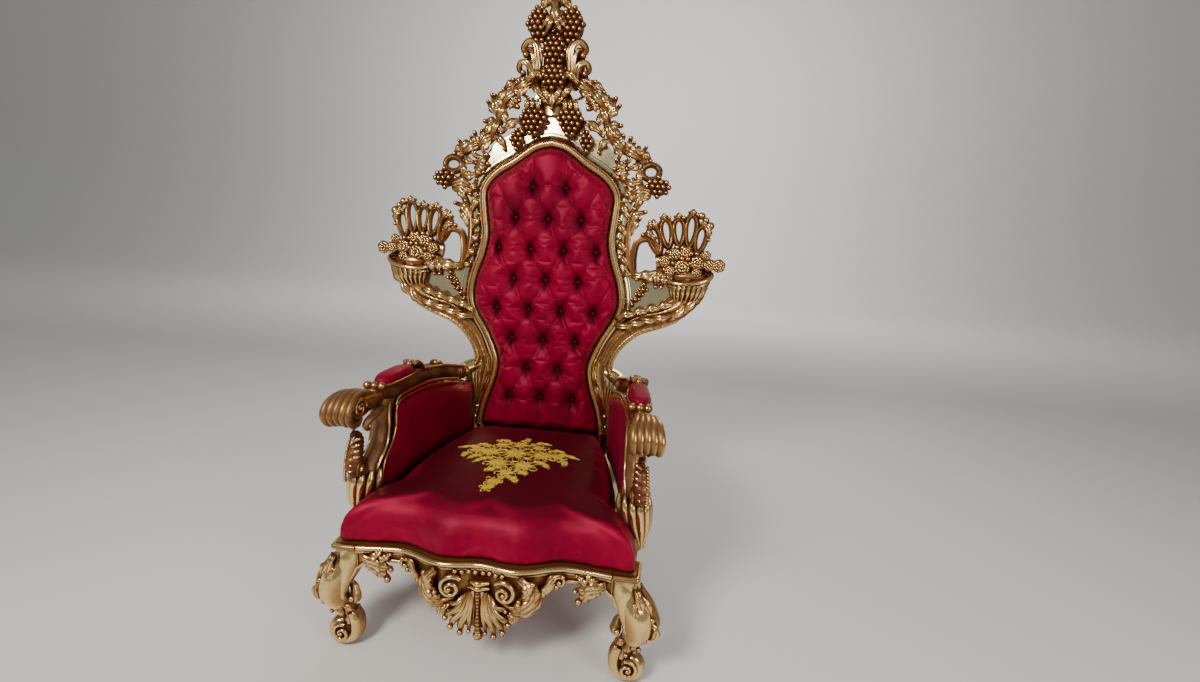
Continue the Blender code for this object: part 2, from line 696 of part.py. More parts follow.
def arm_stub(carving):
    """The short block that leaves the stile sideways and takes the arm's end."""
    half = ARM_ROUND + 0.002
    route = [on_back(0.226, 0.630, -0.020), on_back(0.256, 0.622, -0.014),
             Vector((ARM_JOINT_X - 0.006, ARM_JOINT_Y + 0.030, ARM_JOINT_Z + 0.004)),
             Vector((ARM_JOINT_X, ARM_JOINT_Y - 0.010, ARM_JOINT_Z))]
    carving.rod(smooth_route(route, 3), [0.022, half, half, half], facing=(0, 0, 1))


def opening_prism(grow, low, front, back):
    """The room of the back's opening: its outline drawn out straight along the depth."""
    half = [on_back(p.x, p.y) for p in opening_route(-0.002 + grow, per=2)]
    half = [p for p in half if p.z > low + 0.01]
    half.append(Vector((half[-1].x, 0, low)))
    ring = half + [Vector((-p.x, p.y, p.z)) for p in reversed(half[1:])]
    bm = bmesh.new()
    caps = []
    for y in (front, back):
        lean = [BACK_FACE_Y + BACK_RAKE * (p.z - RAIL_TOP) + y for p in ring]
        caps.append([bm.verts.new((p.x, d, p.z)) for p, d in zip(ring, lean)])
    for i in range(len(ring)):
        j = (i + 1) % len(ring)
        bm.faces.new((caps[0][i], caps[0][j], caps[1][j], caps[1][i]))
    bm.faces.new(caps[0][::-1])
    bm.faces.new(caps[1])
    bmesh.ops.recalc_face_normals(bm, faces=bm.faces)
    return bm


def saw_back_flat(frame, finish_material):
    """Takes the carved work's back down to one raked plane, as it is cut from a flat board."""
    tool = Carving()
    depth = -BACK_BOARD + 0.002
    low, high = on_back(0, 0.52, depth), on_back(0, DRAWN_TOP + 0.1, depth)
    rings = []
    for x in (-WING_SPAN, WING_SPAN):
        rings.append([Vector((x, low.y, low.z)), Vector((x, high.y, high.z)),
                      Vector((x, high.y + 0.3, high.z)), Vector((x, low.y + 0.3, low.z))])
    tool.skin(rings)
    bmesh.ops.recalc_face_normals(tool.bm, faces=tool.bm.faces)
    cut_with(frame, new_object("saw", tool.bm, finish_material))


def back_frame(finish_material):
    """Crest, shoulders, wings, stiles and rear legs: one carved frame."""
    carving = Carving()
    crest(carving)
    field_board(carving)
    opening_moulding(carving)
    rear_leg(carving)
    vine_shoulder(carving, on_back)
    vine_stile(carving, on_back)
    wing(carving, on_back)
    stile_foot(carving, on_back)
    arm_stub(carving)
    frame = carving.finish("back_frame", finish_material, 3900, both_sides=True)
    saw_back_flat(frame, finish_material)
    cut_flat(frame, (0, 0, 0), (0, 0, -1))
    opening = new_object("opening", opening_prism(GAP, RAIL_TOP - 0.110, -0.2, 0.2), finish_material)
    cut_with(frame, opening)
    low = RAIL_TOP - SIDE_RAIL_DEPTH - GAP
    cut_box(frame, (-0.5, -0.2, low), (0.5, BACK_FACE_Y + GAP, BACK_PAD_BOTTOM - 0.006))
    for side in (1, -1):
        near, far = sorted((side * (ARM_JOINT_X - 0.060), side * (ARM_JOINT_X + 0.060)))
        cut_box(frame, (near, ARM_JOINT_Y - 0.080, ARM_JOINT_Z - 0.070),
                (far, ARM_JOINT_Y + GAP, ARM_JOINT_Z + 0.070))
        cut_with(frame, side_panel("panel_room", finish_material, side, GAP))
    return frame


# The seat frame

APRON_EDGE = [(0.000, 0.118), (0.050, 0.128), (0.074, 0.152), (0.090, 0.186), (0.130, 0.206),
              (0.160, 0.236), (0.187, 0.260), (0.225, 0.262), (0.300, 0.262), (0.341, 0.236)]


def apron(finish_material):
    """The front rail with its scrolls, its shell drop and its leaves."""
    carving = Carving()
    place = on_apron
    edge = [(-0.03, 0.118)] + smooth_route_flat(APRON_EDGE, 2)
    low = [place(u, v) for u, v in edge]
    high = [place(u, DRAWN_BOTTOM + 0.012) for u, v in edge]
    carving.strip(high, low, APRON_BOARD)
    bead = [place(-0.03 + 0.0215 * k, 0.299, 0.004) for k in range(19)]
    carving.rod(bead, 0.0095, flat=1.0, sides=6)
    spiral(carving, place, (0.069, 0.247), 0.030, 1.4, 0.0105, 0.012, start=2.4, hand=-1)
    spiral(carving, place, (0.200, 0.272), 0.017, 1.1, 0.0085, 0.010, start=3.4, hand=-1)
    spiral(carving, place, (0.128, 0.262), 0.024, 1.0, 0.0085, 0.010, start=0.5, hand=1)
    band = [(-0.020, 0.256), (0.0, 0.254), (0.020, 0.256)]
    carving.rod([place(u, v, 0.014) for u, v in band], 0.013, sides=6)
    leaves = [
        ([(0.000, 0.248), (0.000, 0.180), (0.000, 0.106)], 0.017, 0.018),
        ([(0.014, 0.240), (0.022, 0.180), (0.036, 0.120)], 0.015, 0.014),
        ([(0.022, 0.236), (0.042, 0.180), (0.068, 0.130)], 0.015, 0.012),
        ([(0.030, 0.228), (0.060, 0.196), (0.086, 0.160)], 0.013, 0.012),
        ([(0.094, 0.276), (0.118, 0.224), (0.090, 0.192)], 0.014, 0.010),
        ([(0.106, 0.290), (0.144, 0.246), (0.136, 0.206)], 0.013, 0.010),
        ([(0.130, 0.292), (0.168, 0.270), (0.168, 0.236)], 0.013, 0.010),
        ([(0.148, 0.290), (0.186, 0.294), (0.212, 0.276)], 0.010, 0.008),
        ([(0.318, 0.286), (0.276, 0.276), (0.238, 0.252)], 0.014, 0.010),
        ([(0.300, 0.278), (0.274, 0.256), (0.252, 0.220)], 0.015, 0.010),
        ([(0.310, 0.282), (0.300, 0.262), (0.286, 0.246)], 0.011, 0.008),
        ([(0.290, 0.284), (0.262, 0.292), (0.236, 0.282)], 0.010, 0.008),
    ]
    for route, width, out in leaves:
        leaf(carving, place, route, width, out=out, lift=0.008)
    rail = carving.finish("seat_rail_front", finish_material, 760, both_sides=True)
    end = SEAT_FRONT_WIDTH / 2 - LEG_BLOCK + 0.004 - GAP
    cut_flat(rail, (end, 0, 0), (1, 0, 0))
    cut_flat(rail, (-end, 0, 0), (-1, 0, 0))
    cut_flat(rail, (0, 0, RAIL_TOP), (0, 0, 1))
    return rail


def side_rail(finish_material):
    """The right rail, sawn to the bowed side line."""
    bm = bmesh.new()
    front = FRONT_CORNER_Y + LEG_BLOCK + GAP
    rows = []
    for k in range(7):
        y = front + (BACK_FACE_Y - front) * k / 6
        outer = side_line_x(y)
        section = [(outer - SIDE_RAIL_THICKNESS, RAIL_TOP - SIDE_RAIL_DEPTH),
                   (outer, RAIL_TOP - SIDE_RAIL_DEPTH),
                   (outer, RAIL_TOP), (outer - SIDE_RAIL_THICKNESS, RAIL_TOP)]
        rows.append([bm.verts.new((x, y, z)) for x, z in section])
    bridge_rows(bm, rows)
    return solid("seat_rail_right", bm, finish_material)


def bridge_rows(bm, rows):
    """Faces between rings of vertices, and a cap at both ends."""
    for low, high in zip(rows, rows[1:]):
        for i, vert in enumerate(low):
            j = (i + 1) % len(low)
            bm.faces.new((vert, low[j], high[j], high[i]))
    bm.faces.new(rows[0][::-1])
    bm.faces.new(rows[-1])


def back_rail(finish_material):
    """The plain rail between the rear legs."""
    half = on_back(0.220 - 0.002, DRAWN_BOTTOM).x
    tool = Carving()
    tool.box((-half, BACK_FACE_Y + 0.002, RAIL_TOP - SIDE_RAIL_DEPTH),
             (half, BACK_FACE_Y + 0.002 + BACK_RAIL_THICKNESS, RAIL_TOP))
    return solid("seat_rail_back", tool.bm, finish_material)


def front_leg(finish_material):
    """A short cabriole leg: block, knee with a leaf, and a scrolled foot."""
    carving = Carving()
    inner = DRAWN_HALF_FRONT - LEG_BLOCK
    carving.box(on_leg(inner - 0.004, 0.002, 0.236),
                on_leg(DRAWN_HALF_FRONT - 0.004, LEG_BLOCK + 0.004, 0.325))
    body = [(0.366, 0.034, 0.290), (0.374, 0.028, 0.245), (0.396, 0.012, 0.205), (0.406, 0.004, 0.172),
            (0.398, 0.008, 0.142), (0.384, 0.018, 0.118), (0.376, 0.022, 0.092), (0.366, 0.022, 0.070)]
    carving.rod([on_leg(*p) for p in smooth_route(body, 2)],
                [0.036, 0.038, 0.040, 0.038, 0.031, 0.023, 0.022, 0.024], facing=(0.5, -0.85, 0), sides=10)

    def place(u, v, out=0.0):
        return on_leg(u, 0.006 - out, v)

    foot = [(0.360, 0.100), (0.352, 0.070), (0.354, 0.038), (0.374, 0.016), (0.402, 0.018), (0.416, 0.042),
            (0.406, 0.066), (0.384, 0.064), (0.380, 0.044)]
    route = [place(u, v, -0.012) for u, v in smooth_route_flat(foot, 2)]
    carving.rod(route, [0.016, 0.019, 0.020, 0.020, 0.019, 0.017, 0.014, 0.012, 0.012], flat=1.25, sides=8)
    carving.ball(place(0.386, 0.042, -0.012), 0.030, (1, 0.75, 1), fine=2)
    carving.ball(place(0.384, 0.044, 0.012), 0.009)
    spiral(carving, place, (0.354, 0.150), 0.014, 1.0, 0.010, -0.010, start=1.2, hand=1)
    spiral(carving, place, (0.424, 0.156), 0.018, 1.0, 0.012, 0.002, start=1.8, hand=-1)
    leaves = [
        ([(0.388, 0.292), (0.410, 0.250), (0.438, 0.190)], 0.016, 0.016),
        ([(0.372, 0.290), (0.384, 0.240), (0.414, 0.196)], 0.013, 0.022),
        ([(0.340, 0.252), (0.364, 0.216), (0.378, 0.160)], 0.009, 0.014),
        ([(0.396, 0.212), (0.402, 0.180), (0.392, 0.140)], 0.016, 0.036),
        ([(0.380, 0.120), (0.362, 0.108), (0.350, 0.090)], 0.014, 0.008),
        ([(0.384, 0.124), (0.390, 0.104), (0.400, 0.096)], 0.012, 0.008),
    ]
    for route, width, out in leaves:
        leaf(carving, place, route, width, out=out, lift=0.008)
    leg = carving.finish("leg_front_right", finish_material, 400)
    cut_flat(leg, (0, 0, 0), (0, 0, -1))
    cut_flat(leg, (0, 0, RAIL_TOP), (0, 0, 1))
    corner, low = SEAT_FRONT_WIDTH / 2, RAIL_TOP - 0.086
    cut_box(leg, (0.1, -1.0, low), (corner - LEG_BLOCK + 0.004, 0.0, 1.0))
    cut_box(leg, (0.1, FRONT_CORNER_Y + LEG_BLOCK, low), (1.0, 0.0, 1.0))
    return leg


# Arms

ARM_RAIL = [(-0.300, 0.656), (-0.245, 0.655), (-0.190, 0.650), (-0.130, 0.650), (-0.020, 0.654),
            (0.080, 0.640), (0.170, 0.626), (0.245, 0.607), (0.275, 0.606)]
ARM_DEPTHS = [0.024, 0.022, 0.028, 0.034, 0.036, 0.031, 0.028, ARM_ROUND, ARM_ROUND]
ARM_SUPPORT = [(-0.165, 0.640), (-0.172, 0.600), (-0.174, 0.560), (-0.188, 0.515), (-0.222, 0.475),
               (-0.245, 0.430), (-0.250, 0.370), (-0.250, 0.300)]
HAND = (-0.300, 0.654)
HAND_RADIUS = 0.028
HAND_HALF_WIDTH = 0.032


def arm(finish_material):
    """The right arm: rail, rolled hand, curved support and the fluted leaf at its foot."""
    carving = Carving()
    rail = [on_arm(0, y, v) for y, v in smooth_route_flat(ARM_RAIL, 2)]
    carving.rod(rail, ARM_DEPTHS, facing=(1, 0, 0), flat=0.90, sides=10)
    support = [on_arm(-0.003, y, v) for y, v in smooth_route_flat(ARM_SUPPORT, 2)]
    carving.rod(support, [0.040, 0.032, 0.030, 0.030, 0.032, 0.034, 0.034, 0.034],
                facing=(1, 0, 0), flat=0.86, sides=10)
    for k in range(5):
        ring = []
        for a in circle_turns(12):
            reach = HAND_RADIUS + 0.003 * (1 - abs(k - 2) / 2)
            ring.append(on_arm(HAND_HALF_WIDTH * (k - 2) / 2, HAND[0] + reach * math.cos(a),
                               HAND[1] + reach * math.sin(a)))
        carving.rod(ring, 0.0100, facing=(1, 0, 0), sides=6)
    carving.rod([on_arm(-HAND_HALF_WIDTH - 0.004, *HAND), on_arm(HAND_HALF_WIDTH + 0.004, *HAND)],
                HAND_RADIUS, facing=(0, 0, 1), sides=10)
    for k in range(3):
        carving.ball(on_arm(-0.021 + 0.021 * k, -0.200, 0.681), 0.0135)
    for y, v in ((0.010, 0.698), (0.160, 0.656)):
        carving.ball(on_arm(0.0, y, v - 0.006), 0.024, (1.0, 0.75, 0.8), fine=2)
    snail = [(-0.232, 0.448), (-0.262, 0.462), (-0.284, 0.488), (-0.276, 0.520), (-0.262, 0.548),
             (-0.270, 0.575)]
    route = [on_arm(-0.002, y, v) for y, v in smooth_route_flat(snail, 2)]
    carving.rod(route, [0.026, 0.028, 0.027, 0.020, 0.012, 0.010], facing=(1, 0, 0), flat=0.90, sides=8)
    for k in range(5):
        lean = -1.15 + 0.575 * k
        top = on_arm(-0.010 + 0.038 * math.sin(lean), -0.236 - 0.036 * math.cos(lean), 0.456)
        middle = on_arm(-0.008 + 0.036 * math.sin(lean), -0.244 - 0.042 * math.cos(lean), 0.395)
        tip = on_arm(0.012 + 0.014 * math.sin(lean), -0.250 - 0.026 * math.cos(lean), 0.328)
        carving.rod(smooth_route([top, middle, tip], 3), [0.009, 0.0130, 0.0115, 0.008],
                    facing=(0, -1, 0), sides=6)
    made = carving.finish("arm_right", finish_material, 400)
    cut_flat(made, (0, ARM_JOINT_Y, 0), (0, 1, 0))
    cut_flat(made, (0, 0, RAIL_TOP + GAP), (0, 0, -1))
    bed = arm_height(ARM_PAD_BED)
    cut_box(made, (0.1, ARM_PAD_FRONT - SEAM, bed), (1.0, ARM_PAD_FRONT + ARM_PAD_LENGTH + SEAM, bed + 0.2))
    cut_with(made, side_panel("panel_room", finish_material, 1, GAP))
    cut_with(made, seat_cushion("seat_room", finish_material, GAP))
    keep_largest(made)
    return made


def arm_pad(finish_material):
    """A small crowned pad in its bed on the right arm."""
    bm = bmesh.new()
    bed = arm_height(ARM_PAD_BED) + GAP
    rows = []
    for share, lift in ((1.0, 0.0), (1.0, 0.45), (0.84, 0.82), (0.45, 1.0)):
        row = []
        for k in range(16):
            turn = 2 * math.pi * k / 16
            along = math.copysign(abs(math.cos(turn)) ** 0.55, math.cos(turn))
            across = math.copysign(abs(math.sin(turn)) ** 0.75, math.sin(turn))
            y = ARM_PAD_FRONT + ARM_PAD_LENGTH * (0.5 + 0.5 * along * min(1.0, share))
            x = arm_line_x(y) + 0.5 * ARM_PAD_WIDTH * across * share
            row.append(bm.verts.new((x, y, bed + lift * (ARM_PAD_PUFF + 0.018))))
        rows.append(row)
    bridge_rows(bm, rows)
    return solid("arm_pad_right", bm, finish_material)


PANEL_EDGE = [(-0.208, 0.311), (-0.226, 0.400), (-0.224, 0.436), (-0.208, 0.472), (-0.170, 0.508),
              (-0.147, 0.550), (-0.142, 0.598), (-0.120, 0.619), (-0.040, 0.622), (0.040, 0.620),
              (0.120, 0.606), (0.190, 0.590), (0.240, 0.576), (0.284, 0.568)]


def side_panel(name, finish_material, side=1, grow=0.0):
    """The stuffed panel between rail, arm, support and stile, puffed on both faces."""
    edge = [Vector((y, arm_height(v))) for y, v in PANEL_EDGE]
    edge[0].y = RAIL_TOP + GAP
    rear = BACK_FACE_Y - SEAM
    edge[-1].x = rear + BACK_RAKE * (edge[-1].y - RAIL_TOP)
    edge.append(Vector((rear, RAIL_TOP + GAP)))
    centre = Vector((0.060, arm_height(0.47)))
    outline = []
    for p, q in zip(edge, edge[1:] + edge[:1]):
        steps = max(1, int((q - p).length / 0.12))
        outline += [p + (q - p) * k / steps for k in range(steps)]
    bm = bmesh.new()
    faces = []
    for hand in (-1, 1):
        rings = []
        for share, puff in ((1.0, 0.0), (0.88, 0.75), (0.55, 1.0)):
            ring = []
            for p in outline:
                q = centre + (p - centre) * share
                away = (p - centre).normalized() * grow
                half = SIDE_PANEL_THICKNESS / 2 + SIDE_PANEL_PUFF * puff + grow
                x = side_line_x(q.x) - SIDE_PANEL_THICKNESS / 2 - SEAM + hand * half
                ring.append(bm.verts.new((side * x, q.x + away.x * share, q.y + away.y * share)))
            rings.append(ring)
        x = side_line_x(centre.x) - SIDE_PANEL_THICKNESS / 2 - SEAM
        x += hand * (SIDE_PANEL_THICKNESS / 2 + SIDE_PANEL_PUFF + grow)
        tip = bm.verts.new((side * x, centre.x, centre.y))
        faces.append((rings, tip))
    count = len(outline)
    for rings, tip in faces:
        for low, high in zip(rings, rings[1:]):
            for i in range(count):
                bm.faces.new((low[i], low[(i + 1) % count], high[(i + 1) % count], high[i]))
        for i in range(count):
            bm.faces.new((rings[-1][i], rings[-1][(i + 1) % count], tip))
    first, second = faces[0][0][0], faces[1][0][0]
    for i in range(count):
        bm.faces.new((first[i], second[i], second[(i + 1) % count], first[(i + 1) % count]))
    return solid(name, bm, finish_material)


# Upholstery


def seat_outline():
    """The seat pad's plan, anticlockwise from the middle of the front."""
    half = []
    corner = SEAT_FRONT_WIDTH / 2 - SEAT_SETBACK
    for k in range(9):
        x = (corner - 0.016) * k / 8
        half.append((x, front_face_y(x) + SEAT_SETBACK))
    half.append((corner - 0.004, FRONT_CORNER_Y + SEAT_SETBACK + 0.006))
    for y in (FRONT_CORNER_Y + SEAT_SETBACK + 0.024, FRONT_CORNER_Y + 0.083):
        half.append((side_line_x(y) - SEAT_SETBACK, y))
    inset = SIDE_PANEL_THICKNESS + SIDE_PANEL_PUFF + 2 * SEAM + 0.002
    rear = BACK_FACE_Y - SEAM
    for k in range(6):
        y = FRONT_CORNER_Y + 0.150 + (rear - FRONT_CORNER_Y - 0.150) * k / 5
        half.append((side_line_x(y) - inset, y))
    last = half[-1][0]
    half += [(last * 0.5, rear)]
    return half + [(0, rear)] + [(-x, y) for x, y in reversed(half[1:])]


SEAT_PROFILE = [(1.0, 0.0), (1.0, 0.30), (0.985, 0.60), (0.945, 0.86), (0.88, 0.98), (0.78, 1.0)]


def seat_cushion(name, finish_material, grow=0.0):
    """The seat pad: rolled edges and a crowned top, flat underneath on the frame."""
    outline = [Vector((x, y)) for x, y in seat_outline()]
    centre = Vector((0.0, -0.040))
    bm = bmesh.new()
    rows = []
    for share, lift in SEAT_PROFILE + [(0.60, 1.0), (0.40, 1.0), (0.18, 1.0)]:
        row = []
        for p in outline:
            q = centre + (p - centre) * share
            z = RAIL_TOP + GAP + SEAT_EDGE_HEIGHT * lift + seat_crown(q.x, q.y) * lift * lift
            q += (p - centre).normalized() * grow
            row.append(bm.verts.new((q.x, q.y, z + (grow if lift else -grow))))
        rows.append(row)
    bridge_rows(bm, rows)
    return solid(name, bm, finish_material)


def seat_crown(x, y):
    """How much the seat pad swells over its edge height."""
    across = x / (SEAT_FRONT_WIDTH / 2 - 0.020)
    along = (y + 0.050) / (BACK_FACE_Y + 0.060)
    return SEAT_CROWN * (max(0.0, 1 - across * across) * max(0.0, 1 - along * along)) ** 0.7


def seat_top(x, y):
    """The seat pad's drawn height over the floor."""
    return RAIL_TOP + GAP + SEAT_EDGE_HEIGHT + seat_crown(x, y)


def tuft_point(row, k):
    """A button's drawn place: rows alternate, so the buttons stand in diamonds."""
    return (k + 0.5 * ((row + 1) % 2)) * TUFT_WIDTH, TUFT_TOP_ROW - row * TUFT_HEIGHT


def tuft_points():
    """Every button's place that lies well inside the opening."""
    edge = [(p.y, p.x) for p in opening_route(0.0)][::-1]
    points = []
    for row in range(TUFT_ROWS):
        for k in range(-2, 3):
            u, v = tuft_point(row, k)
            reach = eased_line(edge, v)
            if abs(u) < reach - BUTTON_MARGIN:
                points.append((u, v))
    return points


def eased_line(stations, x):
    """A straight-line reading between (place, value) stations."""
    for (x0, y0), (x1, y1) in zip(stations, stations[1:]):
        if x <= x1:
            return y0 + (y1 - y0) * max(0.0, (x - x0) / max(1e-9, x1 - x0))
    return stations[-1][1]


def pad_front(u, v, reach):
    """How far the buttoned face stands out at a drawn point, with `reach` to the border."""
    roll = min(1.0, reach / 0.040)
    puff = BACK_PAD_EDGE + (BACK_PAD_PUFF - BACK_PAD_EDGE) * math.sin(math.pi / 2 * roll)
    s, t = u / (TUFT_WIDTH / 2) + 1, (TUFT_TOP_ROW - v) / TUFT_HEIGHT
    one, two = abs(math.sin(math.pi * (s + t) / 2)), abs(math.sin(math.pi * (s - t) / 2))
    swell = (one * two) ** 0.45
    if v > TUFT_TOP_ROW or t > TUFT_ROWS - 1:
        row = 0 if v > TUFT_TOP_ROW else TUFT_ROWS - 1
        swell = abs(math.sin(math.pi * (s + row) / 2)) ** 0.6
    near = min(1.0, min(math.hypot(u - a, v - b) for a, b in tuft_points()) / (0.45 * TUFT_WIDTH))
    return puff - TUFT_DEPTH * roll * (1 - (0.45 * swell + 0.55 * math.sin(math.pi / 2 * near)))


def back_cushion(finish_material):
    """The deep-buttoned pad: a closed slab with its quilted face to the front."""
    half = [p for p in opening_route(-0.002, per=2) if p.y > drawn_v(BACK_PAD_BOTTOM) + 0.01]
    half.append(Vector((half[-1].x, drawn_v(BACK_PAD_BOTTOM), 0)))
    count = 6
    low = [Vector((half[-1].x * (1 - 2 * k / count), half[-1].y, 0)) for k in range(1, count)]
    ring = half + low + [Vector((-p.x, p.y, 0)) for p in reversed(half[1:])]
    ring = [Vector((p.x, p.y)) for p in ring]
    points = list(ring)
    step_u, step_v = TUFT_WIDTH / 4, TUFT_HEIGHT / 4
    for i in range(-12, 13):
        for j in range(-8, 44):
            p = Vector((i * step_u, TUFT_TOP_ROW - j * step_v))
            if inside(ring, p) and border_distance(ring, p) > 0.010:
                points.append(p)
    edges = [(i, (i + 1) % len(ring)) for i in range(len(ring))]
    flat, _, faces, _, _, _ = geometry.delaunay_2d_cdt(points, edges, [], 1, 1e-6)
    bm = bmesh.new()
    front = []
    for p in flat:
        out = pad_front(p.x, p.y, border_distance(ring, p))
        front.append(bm.verts.new(on_back(p.x, p.y, out)))
    rear = [bm.verts.new(on_back(p.x, p.y, -REBATE_DEPTH)) for p in flat[:len(ring)]]
    for face in faces:
        bm.faces.new([front[i] for i in face])
    for i in range(len(ring)):
        j = (i + 1) % len(ring)
        bm.faces.new((front[i], rear[i], rear[j], front[j]))
    bm.faces.new(rear)
    return solid("back_cushion", bm, finish_material)


def drawn_v(z):
    return DRAWN_BOTTOM + (z - RAIL_TOP) * (DRAWN_TOP - DRAWN_BOTTOM) / (TOTAL_HEIGHT - RAIL_TOP)


def inside(ring, p):
    """Whether a flat point lies inside a closed outline."""
    hit = False
    for a, b in zip(ring, ring[1:] + ring[:1]):
        if (a.y > p.y) != (b.y > p.y) and p.x < a.x + (b.x - a.x) * (p.y - a.y) / (b.y - a.y):
            hit = not hit
    return hit


def border_distance(ring, p):
    """The distance from a flat point to a closed outline."""
    best = 1e9
    for a, b in zip(ring, ring[1:] + ring[:1]):
        edge = b - a
        t = min(1.0, max(0.0, (p - a).dot(edge) / max(1e-12, edge.length_squared)))
        best = min(best, (a + edge * t - p).length)
    return best


def buttons(pad, finish_material):
    """A covered button in each tuft, its flat back just clear of the pad."""
    bm = bmesh.new()
    bm.from_mesh(pad.data)
    tree = BVHTree.FromBMesh(bm)
    bm.free()
    made = []
    for number, (u, v) in enumerate(tuft_points(), start=1):
        centre = on_back(u, v)
        reach = []
        for k in range(8):
            turn, far = 2 * math.pi * k / 7, BUTTON_RADIUS if k else 0.0
            start = Vector((centre.x + far * math.cos(turn), -1.0, centre.z + far * math.sin(turn)))
            reach.append(tree.ray_cast(start, Vector((0, 1, 0)))[0].y)
        base = min(reach) - GAP
        dome = bmesh.new()
        rows = []
        for share, lift in ((1.0, 0.0), (0.72, 0.9)):
            row = []
            for k in range(7):
                turn = 2 * math.pi * k / 7
                row.append(dome.verts.new((centre.x + share * BUTTON_RADIUS * math.cos(turn),
                                           base - lift * BUTTON_HEIGHT,
                                           centre.z + share * BUTTON_RADIUS * math.sin(turn))))
            rows.append(row)
        bridge_rows(dome, rows)
        made.append(solid("button_%02d" % number, dome, finish_material))
    return made


def rear_panel(finish_material):
    """The flat panel that closes the opening from behind."""
    bm = opening_prism(0.0, RAIL_TOP + GAP, REBATE_DEPTH + GAP, REBATE_DEPTH + GAP + REAR_PANEL_THICKNESS)
    return solid("back_outer_panel", bm, finish_material)


def applique(finish_material):
    """The embroidered spray of flowers and leaves, cut flat and laid over the seat pad's crown."""
    carving = Carving()
    wide, deep = MOTIF_SPAN / 0.40, MOTIF_DEPTH / 0.36
    for u, v, radius in ((0.0, 0.04, 0.050), (-0.075, 0.030, 0.042), (0.080, 0.035, 0.042),
                         (-0.035, -0.035, 0.040), (0.040, -0.040, 0.040), (0.0, -0.085, 0.034),
                         (-0.015, -0.135, 0.026), (0.0, 0.105, 0.030), (-0.055, 0.085, 0.026),
                         (0.060, 0.085, 0.026), (-0.130, 0.035, 0.024), (0.130, 0.035, 0.024)):
        carving.ball((u * wide, v * deep, 0), radius, (wide, deep, 0.008 / radius), fine=2)
    for u, v in ((-0.185, 0.050), (0.190, 0.042), (-0.105, -0.020), (0.110, -0.015), (0.0, -0.165)):
        spray = [(u * 0.4, v * 0.4, 0), (u * 0.75, v * 0.8, 0), (u, v, 0)]
        spray = [(x * wide, y * deep, 0) for x, y, _ in smooth_route(spray, 4)]
        carving.rod(spray, [0.016, 0.018, 0.009], facing=(0, 0, 1), flat=0.45, sides=8)
    motif = carving.finish("seat_applique", finish_material, 360, voxel=0.0024)
    for vert in motif.data.vertices:
        x, y = vert.co.x, vert.co.y + MOTIF_CENTRE_Y
        height = max(0.0, vert.co.z) * MOTIF_THICKNESS / 0.008
        vert.co = (x, y, seat_top(x, y) + MOTIF_CLEARANCE + height)
    return motif


# Run


def main():
    clear_scene()
    gilt = material("antique_gilt", GILT, 0.36, 0.85)
    crimson = material("crimson_velvet", CRIMSON, 0.55, 0.0)
    thread = material("gold_thread", GOLD_THREAD, 0.5, 0.4)
    back_frame(gilt)
    apron(gilt)
    mirrored(side_rail(gilt), "seat_rail_left")
    back_rail(gilt)
    mirrored(front_leg(gilt), "leg_front_left")
    mirrored(arm(gilt), "arm_left")
    mirrored(arm_pad(crimson), "arm_pad_left")
    mirrored(side_panel("side_panel_right", crimson), "side_panel_left")
    seat_cushion("seat_cushion", crimson)
    pad = back_cushion(crimson)
    buttons(pad, crimson)
    rear_panel(crimson)
    applique(thread)
    for obj in bpy.data.objects:
        obj.data.transform(Matrix.Translation((0, DEPTH_SHIFT, 0)))


main()
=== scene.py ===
# %% [markdown]
# A carved giltwood throne with a vine crest, two horns of plenty and buttoned crimson upholstery.
# On the real throne a carver cuts the ornament from timber, a gilder lays gold over a red-brown ground
# and rubs a dark glaze into the hollows, and an upholsterer stretches velvet over stuffed pads.
# This lesson follows the same order: carving tools first, then gilding, then the stuffed pieces.

# %% Load the fixed frame
import math
import random

import bmesh
import bpy
import numpy as np
from mathutils import Matrix, Vector
from mathutils.bvhtree import BVHTree


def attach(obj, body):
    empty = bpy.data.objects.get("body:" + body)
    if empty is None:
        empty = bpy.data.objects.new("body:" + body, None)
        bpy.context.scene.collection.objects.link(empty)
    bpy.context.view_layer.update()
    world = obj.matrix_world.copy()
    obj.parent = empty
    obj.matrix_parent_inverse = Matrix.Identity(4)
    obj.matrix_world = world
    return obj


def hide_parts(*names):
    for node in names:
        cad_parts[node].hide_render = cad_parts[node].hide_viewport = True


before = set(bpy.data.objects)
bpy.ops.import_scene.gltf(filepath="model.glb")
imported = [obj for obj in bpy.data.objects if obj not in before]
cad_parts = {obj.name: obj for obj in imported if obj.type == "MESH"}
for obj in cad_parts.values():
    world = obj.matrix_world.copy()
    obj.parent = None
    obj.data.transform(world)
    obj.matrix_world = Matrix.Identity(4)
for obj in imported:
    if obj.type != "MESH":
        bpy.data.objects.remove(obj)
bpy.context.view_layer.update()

# %% [markdown]
# The camera stands in front of the seat, a little to the right and at shoulder height, and looks down.
# A wide lens gives the strong vanishing of the picture. Its place and turn were worked out from pairs of
# left and right points of the throne, so it is written as an angle set rather than aimed at a target.

# %% Camera
def camera_turn(yaw, pitch, roll):
    """The camera's axes from three angles in degrees."""
    yaw, pitch, roll = math.radians(yaw), math.radians(pitch), math.radians(roll)
    ahead = Vector((-math.sin(yaw) * math.cos(pitch), math.cos(yaw) * math.cos(pitch), math.sin(pitch)))
    level = Vector((math.cos(yaw), math.sin(yaw), 0))
    up = level.cross(ahead)
    right = math.cos(roll) * level + math.sin(roll) * up
    top = math.cos(roll) * up - math.sin(roll) * level
    return Matrix((right, top, -ahead)).transposed().to_4x4()


